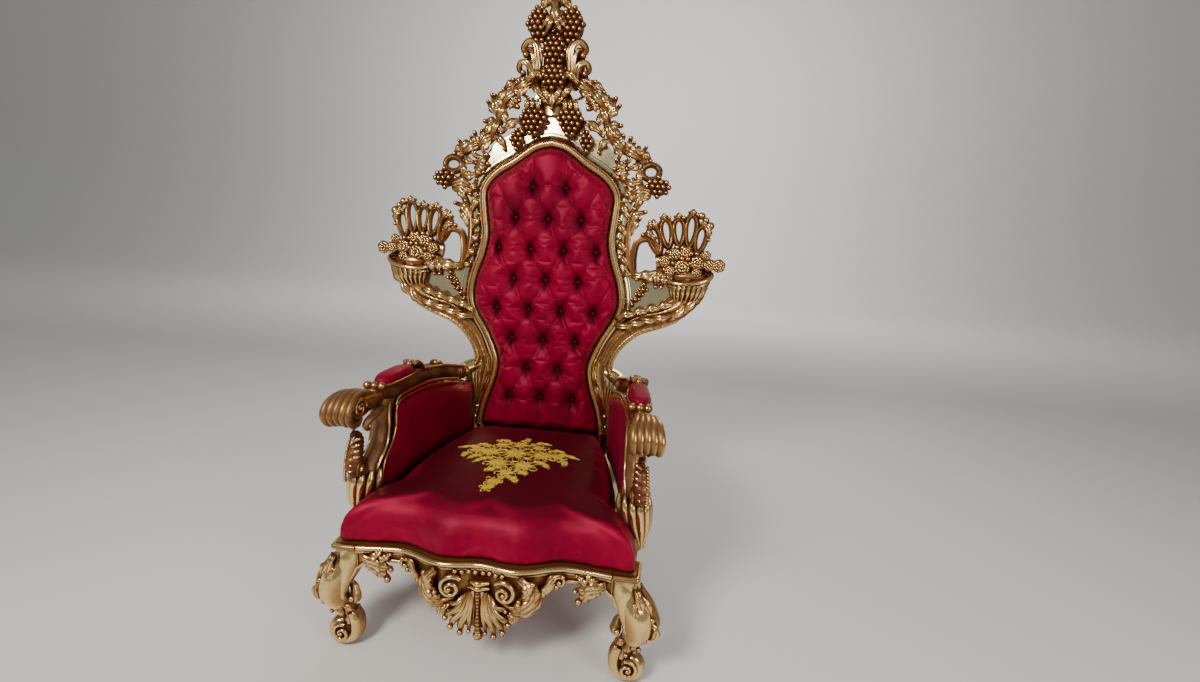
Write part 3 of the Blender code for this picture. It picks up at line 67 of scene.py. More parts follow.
SENSOR_WIDTH, FOCAL_PIXELS, PICTURE_WIDTH = 36, 543.8, 1200
eye = bpy.data.objects.new("camera", bpy.data.cameras.new("camera"))
bpy.context.scene.collection.objects.link(eye)
eye.data.sensor_width = SENSOR_WIDTH
eye.data.lens = SENSOR_WIDTH * FOCAL_PIXELS / PICTURE_WIDTH
eye.matrix_world = Matrix.Translation((0.394, -1.5677, 1.161)) @ camera_turn(5.79, -12.38, 2.91)
bpy.context.scene.camera = eye
print("camera at", [round(v, 3) for v in eye.location], "lens", round(eye.data.lens, 2))

# %% [markdown]
# The floor is a plain pale sheet that bends up far behind the throne, as a photographer's paper roll does,
# so no horizon cuts the picture.
# The light is a soft studio set: one panel high at the front left, a weaker one on the right, a strip above
# and behind for the gilding's edges, a wide panel for the paper, and a dim even world to open the shadows.

# %% Floor and light
def new_material(name):
    """A material, its node tree and its Principled shader."""
    made = bpy.data.materials.new(name)
    made.use_nodes = True
    return made, made.node_tree, made.node_tree.nodes["Principled BSDF"]


def flat_material(name, colour, roughness):
    made, _, shader = new_material(name)
    shader.inputs["Base Color"].default_value = (*colour, 1)
    shader.inputs["Roughness"].default_value = roughness
    return made


PAPER_HALF, BEND_START, BEND_RADIUS = 24, 7.0, 3.0
paper_line = [(-12.0, 0.0), (BEND_START, 0.0)]
for step in range(1, 11):
    bend = 0.1 * step * math.pi / 2
    paper_line.append((BEND_START + BEND_RADIUS * math.sin(bend),
                       BEND_RADIUS - BEND_RADIUS * math.cos(bend)))
paper_line.append((BEND_START + BEND_RADIUS, 12.0))
floor_mesh = bpy.data.meshes.new("floor")
floor_mesh.from_pydata([(x, y, z) for y, z in paper_line for x in (-PAPER_HALF, PAPER_HALF)], [],
                       [(2 * k, 2 * k + 1, 2 * k + 3, 2 * k + 2) for k in range(len(paper_line) - 1)])
floor_mesh.polygons.foreach_set("use_smooth", [True] * len(floor_mesh.polygons))
floor_mesh.materials.append(flat_material("pale_floor", (0.74, 0.72, 0.69), 0.80))
floor = bpy.data.objects.new("floor", floor_mesh)
bpy.context.scene.collection.objects.link(floor)


def soft_panel(name, place, target, size, power, tint=(1, 1, 1)):
    """A rectangular studio light that faces a target."""
    lamp = bpy.data.lights.new(name, "AREA")
    lamp.shape = "RECTANGLE"
    lamp.size, lamp.size_y = size
    lamp.energy = power
    lamp.color = tint
    holder = bpy.data.objects.new(name, lamp)
    bpy.context.scene.collection.objects.link(holder)
    holder.location = place
    holder.rotation_mode = "QUATERNION"
    holder.rotation_quaternion = (Vector(target) - Vector(place)).to_track_quat("-Z", "Y")
    return holder


soft_panel("key_panel", (-1.1, -2.5, 2.7), (0, 0, 0.9), (0.9, 0.8), 100, (1, 0.96, 0.90))
soft_panel("fill_panel", (2.4, -2.1, 1.6), (0, 0, 0.8), (1.2, 1.2), 30, (1, 0.97, 0.94))
soft_panel("rear_strip", (0.4, 2.2, 2.8), (0, 0.2, 1.2), (2.4, 0.6), 40)
soft_panel("paper_panel", (0, 4.2, 4.4), (0, 10, 2.2), (7, 1.5), 420)

world = bpy.data.worlds.new("studio")
world.use_nodes = True
world.node_tree.nodes["Background"].inputs["Color"].default_value = (0.80, 0.82, 0.86, 1)
world.node_tree.nodes["Background"].inputs["Strength"].default_value = 0.34
bpy.context.scene.world = world

# %% [markdown]
# The carver works from a drawing: how far across and how high a leaf stands on the board.
# These helpers turn such drawn points into real ones on the raked back, the bowed apron, the arm and the leg.
# The numbers are the same sizes that the solid model has, so every piece lands where its solid stands.

# %% Places on the throne
RAIL_TOP = 0.311
TIMBER_TOP = 0.3105
BACK_FACE_Y = 0.2736
BACK_RAKE = 0.072
BACK_BOARD = 0.036
SEAT_HALF = 0.397
FRONT_CORNER_Y = -0.383
SEAT_BACK_HALF = 0.300
SIDE_BOW = 0.034
SHIFT = 0.0063


def on_back(u, v, out=0.0):
    return Vector((u, BACK_FACE_Y + BACK_RAKE * (v - RAIL_TOP) - out, v))


def eased(stations, x):
    """A smooth curve through (place, value) stations, level at each station."""
    x = min(max(x, stations[0][0]), stations[-1][0])
    for (x0, y0), (x1, y1) in zip(stations, stations[1:]):
        if x <= x1:
            t = (x - x0) / (x1 - x0)
            return y0 + (y1 - y0) * t * t * (3 - 2 * t)
    return stations[-1][1]


def front_face_y(x):
    plan = [(0, -0.392), (0.23, -0.404), (0.55, -0.368), (1.0, FRONT_CORNER_Y)]
    return eased(plan, abs(x) / SEAT_HALF)


def on_apron(u, v, out=0.0):
    return Vector((u, front_face_y(u) - out, v))


def side_line_x(y):
    front = SEAT_HALF - 0.007
    share = (y - FRONT_CORNER_Y) / (BACK_FACE_Y - FRONT_CORNER_Y)
    return front + (SEAT_BACK_HALF - front) * share + 4 * SIDE_BOW * share * (1 - share)


def arm_line_x(y):
    plan = [(-0.383, 0.402), (-0.300, 0.392), (-0.200, 0.370), (0.000, 0.358), (0.170, 0.343),
            (0.258, 0.292)]
    return eased(plan, y)


def on_arm(across, y, v):
    return Vector((arm_line_x(y) + across, y, v))


def on_leg(u, v, out=0.0):
    return Vector((u, FRONT_CORNER_Y + 0.006 - out, v))


print("drawing places: back, apron, arm and leg")

# %% [markdown]
# A carved block is many overlapping closed bodies, which is how a carver leaves leaf over stem over board.
# The class keeps points and faces in plain lists, because a mesh made once from lists is quick.
# Each point also gets a crest value, partly wear and partly painted light: 1 where a thumb would rub the gold
# bright and, as a painted highlight, on the side that faces the front, and 0 down in a hollow and on sides
# turned away, as painted shade. Each point also gets a paleness, 0 for warm antique gold and 1 for the pale
# champagne leaf of the flat fields.

# %% The carver's block
def smooth_route(points, per=4):
    """A curve through the points, with `per` steps between neighbours."""
    points = [Vector(p) for p in points]
    if len(points) < 3:
        return [points[0].lerp(points[-1], k / per) for k in range(per + 1)]
    ends = [2 * points[0] - points[1]] + points + [2 * points[-1] - points[-2]]
    made = []
    for a, b, c, d in zip(ends, ends[1:], ends[2:], ends[3:]):
        for step in range(per):
            t = step / per
            made.append(0.5 * (2 * b + (c - a) * t + (2 * a - 5 * b + 4 * c - d) * t * t
                               + (3 * b - 3 * c + d - a) * t * t * t))
    return made + [points[-1]]


def flat_route(points, per=4):
    return [(p.x, p.y) for p in smooth_route([Vector((*q, 0)) for q in points], per)]


def spread(values, count):
    if isinstance(values, (int, float)):
        return [values] * count
    last = len(values) - 1
    return [eased(list(enumerate(values)), last * i / (count - 1)) for i in range(count)]


def clamp(value):
    return min(1.0, max(0.0, value))


def squarish(wave, power):
    """Pushes a sine or cosine outwards, so that a circle gets flat sides and round corners."""
    return math.copysign(abs(wave) ** power, wave)


def ring_faces(rows, count):
    """Quads between neighbouring rings of `count` points."""
    faces = []
    for r in range(rows - 1):
        for i in range(count):
            here, beside = r * count + i, r * count + (i + 1) % count
            faces.append((here, beside, beside + count, here + count))
    return faces


def capped_faces(rows, count):
    """The same quads, with a flat face on the first and the last ring."""
    ends = [tuple(range(count)), tuple((rows - 1) * count + i for i in range(count))]
    return ring_faces(rows, count) + ends


def smooth_piece(name, points, faces, finish_material):
    """A linked object with one material, smooth faces and normals that point outwards."""
    mesh = bpy.data.meshes.new(name)
    mesh.from_pydata([(x, y + SHIFT, z) for x, y, z in points], [], faces)
    bm = bmesh.new()
    bm.from_mesh(mesh)
    bmesh.ops.recalc_face_normals(bm, faces=bm.faces)
    bm.to_mesh(mesh)
    bm.free()
    mesh.polygons.foreach_set("use_smooth", [True] * len(mesh.polygons))
    mesh.materials.append(finish_material)
    obj = bpy.data.objects.new(name, mesh)
    bpy.context.scene.collection.objects.link(obj)
    return obj


def point_values(obj, key, values):
    """Notes one number for each point, which a material reads by its name."""
    layer = obj.data.attributes.new(key, "FLOAT", "POINT")
    layer.data.foreach_set("value", values)


class Carving:
    """Closed bodies of one carved piece."""

    def __init__(self, paleness=0.0):
        self.points, self.faces, self.crest, self.pale = [], [], [], []
        self.paleness = paleness

    def add(self, points, faces, crest):
        first = len(self.points)
        self.points += [tuple(p) for p in points]
        self.faces += [tuple(first + i for i in face) for face in faces]
        self.crest += crest
        self.pale += [self.paleness] * len(points)

    def skin(self, rings, crests):
        """A closed body through rings of the same number of points."""
        count = len(rings[0])
        points = [p for ring in rings for p in ring]
        crest = [c for row in crests for c in row]
        faces = ring_faces(len(rings), count)
        for ring, start in ((rings[0], 0), (rings[-1], (len(rings) - 1) * count)):
            middle = sum(ring, Vector()) / count
            points.append(middle)
            crest.append(crest[start])
            hub = len(points) - 1
            faces += [(start + i, start + (i + 1) % count, hub) for i in range(count)]
        self.add(points, faces, crest)

    def finish(self, name, finish_material, sharp=55):
        """Makes the object. Edges keener than `sharp` degrees stay crisp."""
        obj = smooth_piece(name, self.points, self.faces, finish_material)
        point_values(obj, "crest", self.crest)
        point_values(obj, "pale", self.pale)
        obj.data.set_sharp_from_angle(angle=math.radians(sharp))
        triangles = sum(len(p.vertices) - 2 for p in obj.data.polygons)
        print(name, "triangles", triangles, "points", len(obj.data.vertices))
        return obj


# %% [markdown]
# Three cuts make nearly all of the ornament: a stem, a bead and a leaf.
# A stem is a tapering rod; it can be squashed against the board, fluted along its length or ribbed across.
# A bead is a ball cut from a fine icosphere, with a painted highlight on the side that faces the viewer.

# %% Stems and beads
def circle_turns(steps):
    return [2 * math.pi * k / steps for k in range(steps + 1)]


def stem(carving, route, radii, facing=(0, -1, 0), flat=1.0, sides=12, flutes=0, cut=0.14, twist=0.0,
         ribs=0, rib_cut=0.12):
    """A rod along a route. `flat` squashes it along `facing`; flutes run along it and ribs across it."""
    route = [Vector(p) for p in route]
    facing = Vector(facing).normalized()
    count = len(route)
    rings, crests = [], []
    for i, (centre, radius) in enumerate(zip(route, spread(radii, count))):
        along = (route[min(i + 1, count - 1)] - route[max(i - 1, 0)]).normalized()
        across = along.cross(facing).normalized()
        out = across.cross(along)
        share = i / (count - 1)
        belt = 0.5 + 0.5 * math.cos(2 * math.pi * ribs * share) if ribs else 1.0
        ring, row = [], []
        for k in range(sides):
            turn = 2 * math.pi * k / sides
            wave = 0.5 + 0.5 * math.cos(flutes * turn + 2 * math.pi * twist * share) if flutes else 1.0
            reach = radius * (1 - cut * (1 - wave)) * (1 - rib_cut * (1 - belt))
            ring.append(centre + reach * (math.cos(turn) * across + math.sin(turn) * flat * out))
            # The side toward `facing` gets high crest as a painted highlight, the far side low crest as
            # painted shade.
            front = clamp(0.15 + 0.95 * math.sin(turn))
            row.append(front * (0.25 + 0.75 * wave) * (0.25 + 0.75 * belt))
        rings.append(ring)
        crests.append(row)
    carving.skin(rings, crests)


def ball_pattern(fine):
    bm = bmesh.new()
    bmesh.ops.create_icosphere(bm, subdivisions=fine, radius=1.0)
    bm.verts.ensure_lookup_table()
    points = [v.co.copy() for v in bm.verts]
    faces = [[v.index for v in f.verts] for f in bm.faces]
    bm.free()
    return points, faces


BALLS = {2: ball_pattern(2), 3: ball_pattern(3), 4: ball_pattern(4)}


def bead(carving, centre, radius, squash=(1, 1, 1), fine=3, facing=(0, -0.93, 0.36), keen=1.0):
    """A ball with a painted highlight on the side toward `facing`. `keen` over 1 keeps the painted highlight
    small.
    """
    points, faces = BALLS[fine]
    centre, facing = Vector(centre), Vector(facing).normalized()
    # Crest is a painted highlight that peaks toward `facing`.
    crest = [clamp((p.dot(facing) - 0.05) / 0.95) ** keen for p in points]
    placed = [centre + Vector((p.x * squash[0], p.y * squash[1], p.z * squash[2])) * radius for p in points]
    carving.add(placed, faces, crest)


print("ball patterns", {k: len(v[1]) for k, v in BALLS.items()})

# %% [markdown]
# A carved leaf has a sunk middle vein, side lobes that swell and dip, edges that turn down and a tip that
# curls up into a small knob. Here it is one closed body: the top is shaped by simple waves along and across
# the spine, and the underside is flat. Building it from a formula keeps a hundred leaves alike but not equal.

# %% Leaves
def leaf(carving, place, route, width, out=0.010, lift=0.010, lobes=3, knob=0.0, thick=0.005, fat=0.60,
         broad=1.45):
    """A lobed leaf along a drawn route, with a vein, a turned-down edge and a knob at the tip."""
    spine = smooth_route([Vector((*p, 0)) for p in route], per=6)
    count = len(spine)
    rings, crests = [], []
    for i, p in enumerate(spine):
        t = i / (count - 1)
        along = (spine[min(i + 1, count - 1)] - spine[max(i - 1, 0)]).normalized()
        side = Vector((-along.y, along.x))
        full = math.sin(math.pi * min(0.90, 0.16 + 0.76 * t)) ** 0.8
        half = broad * width * full * (0.80 + 0.20 * math.cos(2 * math.pi * lobes * t))
        rise = out + lift * math.sin(math.pi * min(1.0, t * 1.12)) + 0.35 * lift * t * t
        ring, row = [], []
        for k in range(9):
            s = -1 + k / 4
            crown = (1 - s * s) * fat * width * full
            vein = -0.30 * width * full * math.exp(-(s / 0.17) ** 2)
            wave = math.cos(2 * math.pi * (lobes * t - 0.42 * abs(s)))
            rib = 0.15 * width * full * wave * min(1, 2 * abs(s))
            ring.append(place(p.x + side.x * s * half, p.y + side.y * s * half, rise + crown + vein + rib))
            row.append(clamp(0.30 + (crown + vein + 1.6 * rib) / (0.75 * fat * width)) * (0.35 + 0.65 * full))
        for s in (0.70, 0.0, -0.70):
            ring.append(place(p.x + side.x * s * half, p.y + side.y * s * half, rise - thick - 0.20 * half))
            row.append(0.0)
        rings.append(ring)
        crests.append(row)
    carving.skin(rings, crests)
    if knob:
        tip = spine[-1]
        bead(carving, place(tip.x, tip.y, out + 0.45 * lift + 0.2 * knob), knob * 1.15, fine=3, keen=1.2)


def scroll(carving, place, centre, radius, turns, thick, out, start=0.0, hand=1, rise=0.010):
    """A volute that winds in to an eye and climbs as it goes."""
    steps = max(10, int(turns * 26))
    points = []
    for i in range(steps + 1):
        t = i / steps
        turn = start + hand * 2 * math.pi * turns * t
        reach = radius * (1 - 0.84 * t)
        points.append(place(centre[0] + reach * math.cos(turn), centre[1] + reach * math.sin(turn),
                            out + rise * t))
    stem(carving, points, [thick * 0.9, thick * 0.8, thick * 0.50], sides=10, flat=1.1)
    bead(carving, place(centre[0], centre[1], out + rise), thick * 0.85, keen=1.3)


def grape_bunch(carving, place, centre, half_width, half_height, depth, grape, drop=0.35, seed=1):
    """Grapes in offset rows over a pointed mound."""
    dice = random.Random(seed)
    u0, v0 = centre
    row_gap, grape_gap = grape * 1.64, grape * 1.88
    # The mound under the grapes keeps a crest near 0, so glaze and painted shade fill the gaps between
    # grapes.
    bead(carving, place(u0, v0, depth * 0.20), 1.0,
         (half_width * 0.84, depth * 0.64, half_height * 0.88), fine=3, keen=9)
    rows = int(half_height / row_gap)
    for row in range(-rows, rows + 1):
        v = row * row_gap
        share = v / half_height
        narrow = 1 - drop * max(0.0, -share)
        reach = half_width * narrow * math.sqrt(max(0.0, 1 - share * share))
        shift = 0.5 * grape_gap * (row % 2)
        count = int(reach / grape_gap) + 1
        for k in range(-count, count + 1):
            u = k * grape_gap + shift
            inside = 1 - (u / max(reach, grape)) ** 2 - share * share * 0.8
            if inside < 0.02:
                continue
            size = grape * dice.uniform(0.90, 1.02)
            nudge_u, nudge_v = dice.uniform(-0.09, 0.09) * grape, dice.uniform(-0.09, 0.09) * grape
            spot = place(u0 + u + nudge_u, v0 + v + nudge_v, depth * math.sqrt(inside))
            bead(carving, spot, size, fine=3, keen=2.0)


print("leaf, scroll and grape tools ready")

# %% [markdown]
# Gilding looks alive because three things vary at once: the leaf is bright where fingers rub it, a brown
# glaze stays in the hollows, and the burnish changes in patches. One shared node group makes those masks,
# and it paints light and shade as well: high crest values add a painted highlight on fronts and bead tips,
# low crest values add painted shade on sides turned away, and creases found by ambient occlusion get painted
# shade along with the glaze. It reads the crest and paleness values of the carving.
# Faces that look to the rear get less of the glaze and painted shade that low crest values bring.

# %% Gilding group
def group_sockets(tree, inputs, outputs):
    for name, kind, value in inputs:
        made = tree.interface.new_socket(name=name, in_out="INPUT", socket_type=kind)
        made.default_value = value
    for name, kind in outputs:
        tree.interface.new_socket(name=name, in_out="OUTPUT", socket_type=kind)
    return tree.nodes.new("NodeGroupInput"), tree.nodes.new("NodeGroupOutput")


def maths(tree, operation, first, second=None, clamped=False):
    node = tree.nodes.new("ShaderNodeMath")
    node.operation = operation
    node.use_clamp = clamped
    for socket, value in zip(node.inputs, (first, second)):
        if isinstance(value, (int, float)):
            socket.default_value = value
        elif value is not None:
            tree.links.new(value, socket)
    return node.outputs[0]


def blend_colour(tree, share, first, second):
    node = tree.nodes.new("ShaderNodeMix")
    node.data_type = "RGBA"
    for socket, value in ((node.inputs["Factor"], share), (node.inputs[6], first), (node.inputs[7], second)):
        if isinstance(value, (int, float, tuple)):
            socket.default_value = value
        else:
            tree.links.new(value, socket)
    return node.outputs[2]


def noise(tree, scale, detail, roughness=0.55, stretch=None):
    place = tree.nodes.new("ShaderNodeTexCoord").outputs["Object"]
    if stretch:
        mapping = tree.nodes.new("ShaderNodeMapping")
        mapping.inputs["Scale"].default_value = stretch
        tree.links.new(place, mapping.inputs["Vector"])
        place = mapping.outputs["Vector"]
    node = tree.nodes.new("ShaderNodeTexNoise")
    node.inputs["Scale"].default_value = scale
    node.inputs["Detail"].default_value = detail
    node.inputs["Roughness"].default_value = roughness
    tree.links.new(place, node.inputs["Vector"])
    return node.outputs["Fac"]


def stretch_range(tree, value, low, high, to_low=0.0, to_high=1.0):
    node = tree.nodes.new("ShaderNodeMapRange")
    for socket, number in zip(node.inputs[1:5], (low, high, to_low, to_high)):
        socket.default_value = number
    tree.links.new(value, node.inputs[0])
    return node.outputs[0]


def attribute(tree, name):
    node = tree.nodes.new("ShaderNodeAttribute")
    node.attribute_name = name
    return node.outputs["Fac"]


def openness(tree, reach, low, high):
    """Ambient occlusion for painting shade into creases: 1 on open ground, and 0 in creases narrower than
    `reach`.
    """
    shade = tree.nodes.new("ShaderNodeAmbientOcclusion")
    shade.samples = 6
    shade.inputs["Distance"].default_value = reach
    return stretch_range(tree, shade.outputs["AO"], low, high)


def gilding_group():
    tree = bpy.data.node_groups.new("Rubbed gilding and painted light", "ShaderNodeTree")
    colour, number = "NodeSocketColor", "NodeSocketFloat"
    into, out_of = group_sockets(tree, [
        ("Gold", colour, (0.75, 0.50, 0.20, 1)), ("Pale gold", colour, (0.85, 0.77, 0.50, 1)),
        ("Rubbed gold and painted highlight", colour, (0.95, 0.80, 0.48, 1)), ("Glaze and painted shade", colour, (0.16, 0.055, 0.02, 1)),
        ("Glaze amount", number, 1.0)],
        [("Colour", colour), ("Metal", number), ("Roughness", number), ("Height", number)])
    crest, pale = attribute(tree, "crest"), attribute(tree, "pale")
    # Ambient occlusion: creases get the glaze and painted shade.
    open_to_light = openness(tree, 0.024, 0.34, 0.90)
    patch = noise(tree, 22, 4)
    speck = noise(tree, 190, 3, 0.6)
    hollow = maths(tree, "SUBTRACT", 1.0, open_to_light)
    # Low crest: glaze in hollows, and painted shade on sides that turn away from the front.
    low = maths(tree, "SUBTRACT", 1.0, crest)
    low = maths(tree, "MULTIPLY", low, maths(tree, "SUBTRACT", 0.88, maths(tree, "MULTIPLY", pale, 0.62)))
    # Rear-facing faces get less of that low-crest glaze and painted shade.
    normal = tree.nodes.new("ShaderNodeSeparateXYZ")
    tree.links.new(tree.nodes.new("ShaderNodeNewGeometry").outputs["Normal"], normal.inputs[0])
    rear = stretch_range(tree, normal.outputs["Y"], 0.25, 0.60)
    low = maths(tree, "MULTIPLY", low, stretch_range(tree, rear, 0.0, 1.0, 1.0, 0.35))
    both = maths(tree, "MAXIMUM", hollow, low)
    uneven = maths(tree, "MULTIPLY", maths(tree, "SUBTRACT", patch, 0.5), 0.75)
    glaze_and_painted_shade = maths(tree, "ADD", both, uneven)
    glaze_and_painted_shade = maths(tree, "MULTIPLY", glaze_and_painted_shade, into.outputs["Glaze amount"], clamped=True)
    base = blend_colour(tree, pale, into.outputs["Gold"], into.outputs["Pale gold"])
    # High crest: rubbed gold, which also serves as a painted highlight on fronts and bead tips.
    rubbed_and_highlight = stretch_range(tree, crest, 0.66, 1.0, 0.0, 0.85)
    base = blend_colour(tree, rubbed_and_highlight, base, into.outputs["Rubbed gold and painted highlight"])
    base = blend_colour(tree, stretch_range(tree, speck, 0.42, 0.30, 0.0, 0.30), base, into.outputs["Glaze and painted shade"])
    tree.links.new(blend_colour(tree, glaze_and_painted_shade, base, into.outputs["Glaze and painted shade"]), out_of.inputs["Colour"])
    metal = stretch_range(tree, glaze_and_painted_shade, 0.35, 1.0, 1.0, 0.30)
    tree.links.new(metal, out_of.inputs["Metal"])
    rough = maths(tree, "ADD", stretch_range(tree, glaze_and_painted_shade, 0.0, 1.0, 0.08, 0.42),
                  maths(tree, "MULTIPLY", speck, 0.12))
    tree.links.new(rough, out_of.inputs["Roughness"])
    height = maths(tree, "ADD", maths(tree, "MULTIPLY", patch, 0.7), maths(tree, "MULTIPLY", speck, 0.3))
    tree.links.new(height, out_of.inputs["Height"])
    return tree


GILDING_AND_PAINTED_LIGHT = gilding_group()
print("group", GILDING_AND_PAINTED_LIGHT.name, "nodes", len(GILDING_AND_PAINTED_LIGHT.nodes))

# %% [markdown]
# Each finish is its own material around that group. The carved gold is warm, with a strong glaze and strong
# painted shade. The field of the back and the plain rails take the same group with less glaze and less
# painted shade, so all reads as one gilder's work.

# %% Gilt materials
def placed_group(tree, group, values):
    """Puts a shared group into a material with the material's own values, and returns its outputs."""
    node = tree.nodes.new("ShaderNodeGroup")
    node.node_tree = group
    for key, value in values.items():
        node.inputs[key].default_value = (*value, 1) if isinstance(value, tuple) else value
    return node.outputs


def relief_on(tree, shader, height, strength, distance):
    relief = tree.nodes.new("ShaderNodeBump")
    relief.inputs["Strength"].default_value = strength
    relief.inputs["Distance"].default_value = distance
    tree.links.new(height, relief.inputs["Height"])
    tree.links.new(relief.outputs["Normal"], shader.inputs["Normal"])


def gilt_material(name, gold, pale, rubbed_and_highlight, glaze_and_painted_shade, amount):
    made, tree, shader = new_material(name)
    masks = placed_group(tree, GILDING_AND_PAINTED_LIGHT, {"Gold": gold, "Pale gold": pale, "Rubbed gold and painted highlight": rubbed_and_highlight,
                                                "Glaze and painted shade": glaze_and_painted_shade, "Glaze amount": amount})
    tree.links.new(masks["Colour"], shader.inputs["Base Color"])
    tree.links.new(masks["Metal"], shader.inputs["Metallic"])
    tree.links.new(masks["Roughness"], shader.inputs["Roughness"])
    relief_on(tree, shader, masks["Height"], 0.25, 0.0012)
    shader.inputs["Specular IOR Level"].default_value = 0.45
    return made


CARVED_GOLD = gilt_material("carved_gold", (0.52, 0.210, 0.038), (0.84, 0.60, 0.24), (1.0, 0.72, 0.31),
                            (0.095, 0.018, 0.004), 1.38)
FRAME_GOLD = gilt_material("frame_gold", (0.74, 0.48, 0.13), (0.93, 0.80, 0.45), (1.0, 0.86, 0.50),
                           (0.250, 0.130, 0.034), 0.50)
print("gilt materials", CARVED_GOLD.name, FRAME_GOLD.name)

# %% [markdown]
# The crest is the pinnacle of the back: two bunches of grapes at the top, two more down the middle and
# curled leaves on both sides. Only the right half is drawn, and the mirror image is added at the end,
# because the carver works from one folded pattern too. The stem behind them joins everything to the back.

# %% Crest
def crest_carving():
    carving = Carving()
    core = [on_back(0, v, -0.006) for v in (1.50, 1.56, 1.62, 1.70, 1.78, 1.835)]
    stem(carving, smooth_route(core, 3), [0.050, 0.048, 0.044, 0.042, 0.058, 0.022], flat=0.55, sides=16)
    grape_bunch(carving, on_back, (0, 1.702), 0.048, 0.056, 0.046, 0.0100, seed=2)
    grape_bunch(carving, on_back, (0, 1.616), 0.058, 0.054, 0.050, 0.0100, drop=0.45, seed=3)
    leaf(carving, on_back, [(0, 1.852), (0.002, 1.81), (0, 1.762)], 0.013, out=0.044, lobes=2)
    leaf(carving, on_back, [(0, 1.580), (0, 1.552), (0, 1.520)], 0.012, out=0.030, knob=0.006)
    right = Carving()
    grape_bunch(right, on_back, (0.054, 1.783), 0.047, 0.060, 0.044, 0.0100, drop=0.1, seed=4)
    leaves = [
        ([(0.002, 1.800), (0.012, 1.775), (0.026, 1.750)], 0.0075, 0.050, 0),
        ([(0.004, 1.806), (0.022, 1.785), (0.040, 1.765)], 0.0070, 0.046, 0),
        ([(0.006, 1.838), (0.030, 1.848), (0.054, 1.822)], 0.013, 0.026, 0.007),
        ([(0.004, 1.535), (0.028, 1.556), (0.060, 1.600)], 0.012, 0.022, 0),
        ([(0.010, 1.545), (0.022, 1.570), (0.034, 1.592)], 0.009, 0.034, 0),
        ([(0.088, 1.600), (0.060, 1.624), (0.030, 1.622)], 0.010, 0.040, 0.006),
        ([(0.070, 1.590), (0.046, 1.572), (0.026, 1.550)], 0.010, 0.030, 0.005),
    ]
    for route, width, out, knob in leaves:
        leaf(right, on_back, route, width, out=out, knob=knob)
    curls = [
        ([(0.060, 1.600), (0.054, 1.655), (0.061, 1.712), (0.084, 1.729), (0.104, 1.710), (0.096, 1.688)],
         0.0125),
        ([(0.070, 1.600), (0.066, 1.650), (0.074, 1.694), (0.088, 1.706), (0.098, 1.694)], 0.0080),
        ([(0.080, 1.592), (0.075, 1.632), (0.088, 1.660), (0.110, 1.662), (0.117, 1.644), (0.104, 1.632)],
         0.0115),
        ([(0.050, 1.640), (0.046, 1.690), (0.056, 1.726), (0.074, 1.742)], 0.0080),
    ]
    behind = [(0.060, 1.588), (0.072, 1.640), (0.077, 1.685), (0.082, 1.720)]
    stem(right, smooth_route([on_back(u, v, -0.004) for u, v in behind], 5), [0.018, 0.027, 0.023, 0.012],
         flat=0.5, sides=24, flutes=6, cut=0.2)
    for route, width in curls:
        leaf(right, on_back, route, width, out=0.014, lift=0.016, lobes=1, knob=width * 0.75, fat=0.85)
    mirrored_into(carving, right)
    return carving.finish("crest", CARVED_GOLD)


def mirrored_into(carving, half):
    """Adds a half drawing and its mirror image to a carving."""
    for flip in (1, -1):
        first = len(carving.points)
        carving.points += [(flip * x, y, z) for x, y, z in half.points]
        carving.faces += [tuple(first + i for i in face) for face in half.faces]
        carving.crest += half.crest
        carving.pale += half.pale


def both_halves(half, name):
    """A finished piece from a half drawing and its mirror image."""
    carving = Carving()
    mirrored_into(carving, half)
    return carving.finish(name, CARVED_GOLD)


crest = crest_carving()

# %% [markdown]
# From the crest a vine falls to each side, pierced so that light shows between branch and board.
# Along it grow paired leaves with knobbed tips, a small bunch, an open ring and a bunch at its end.

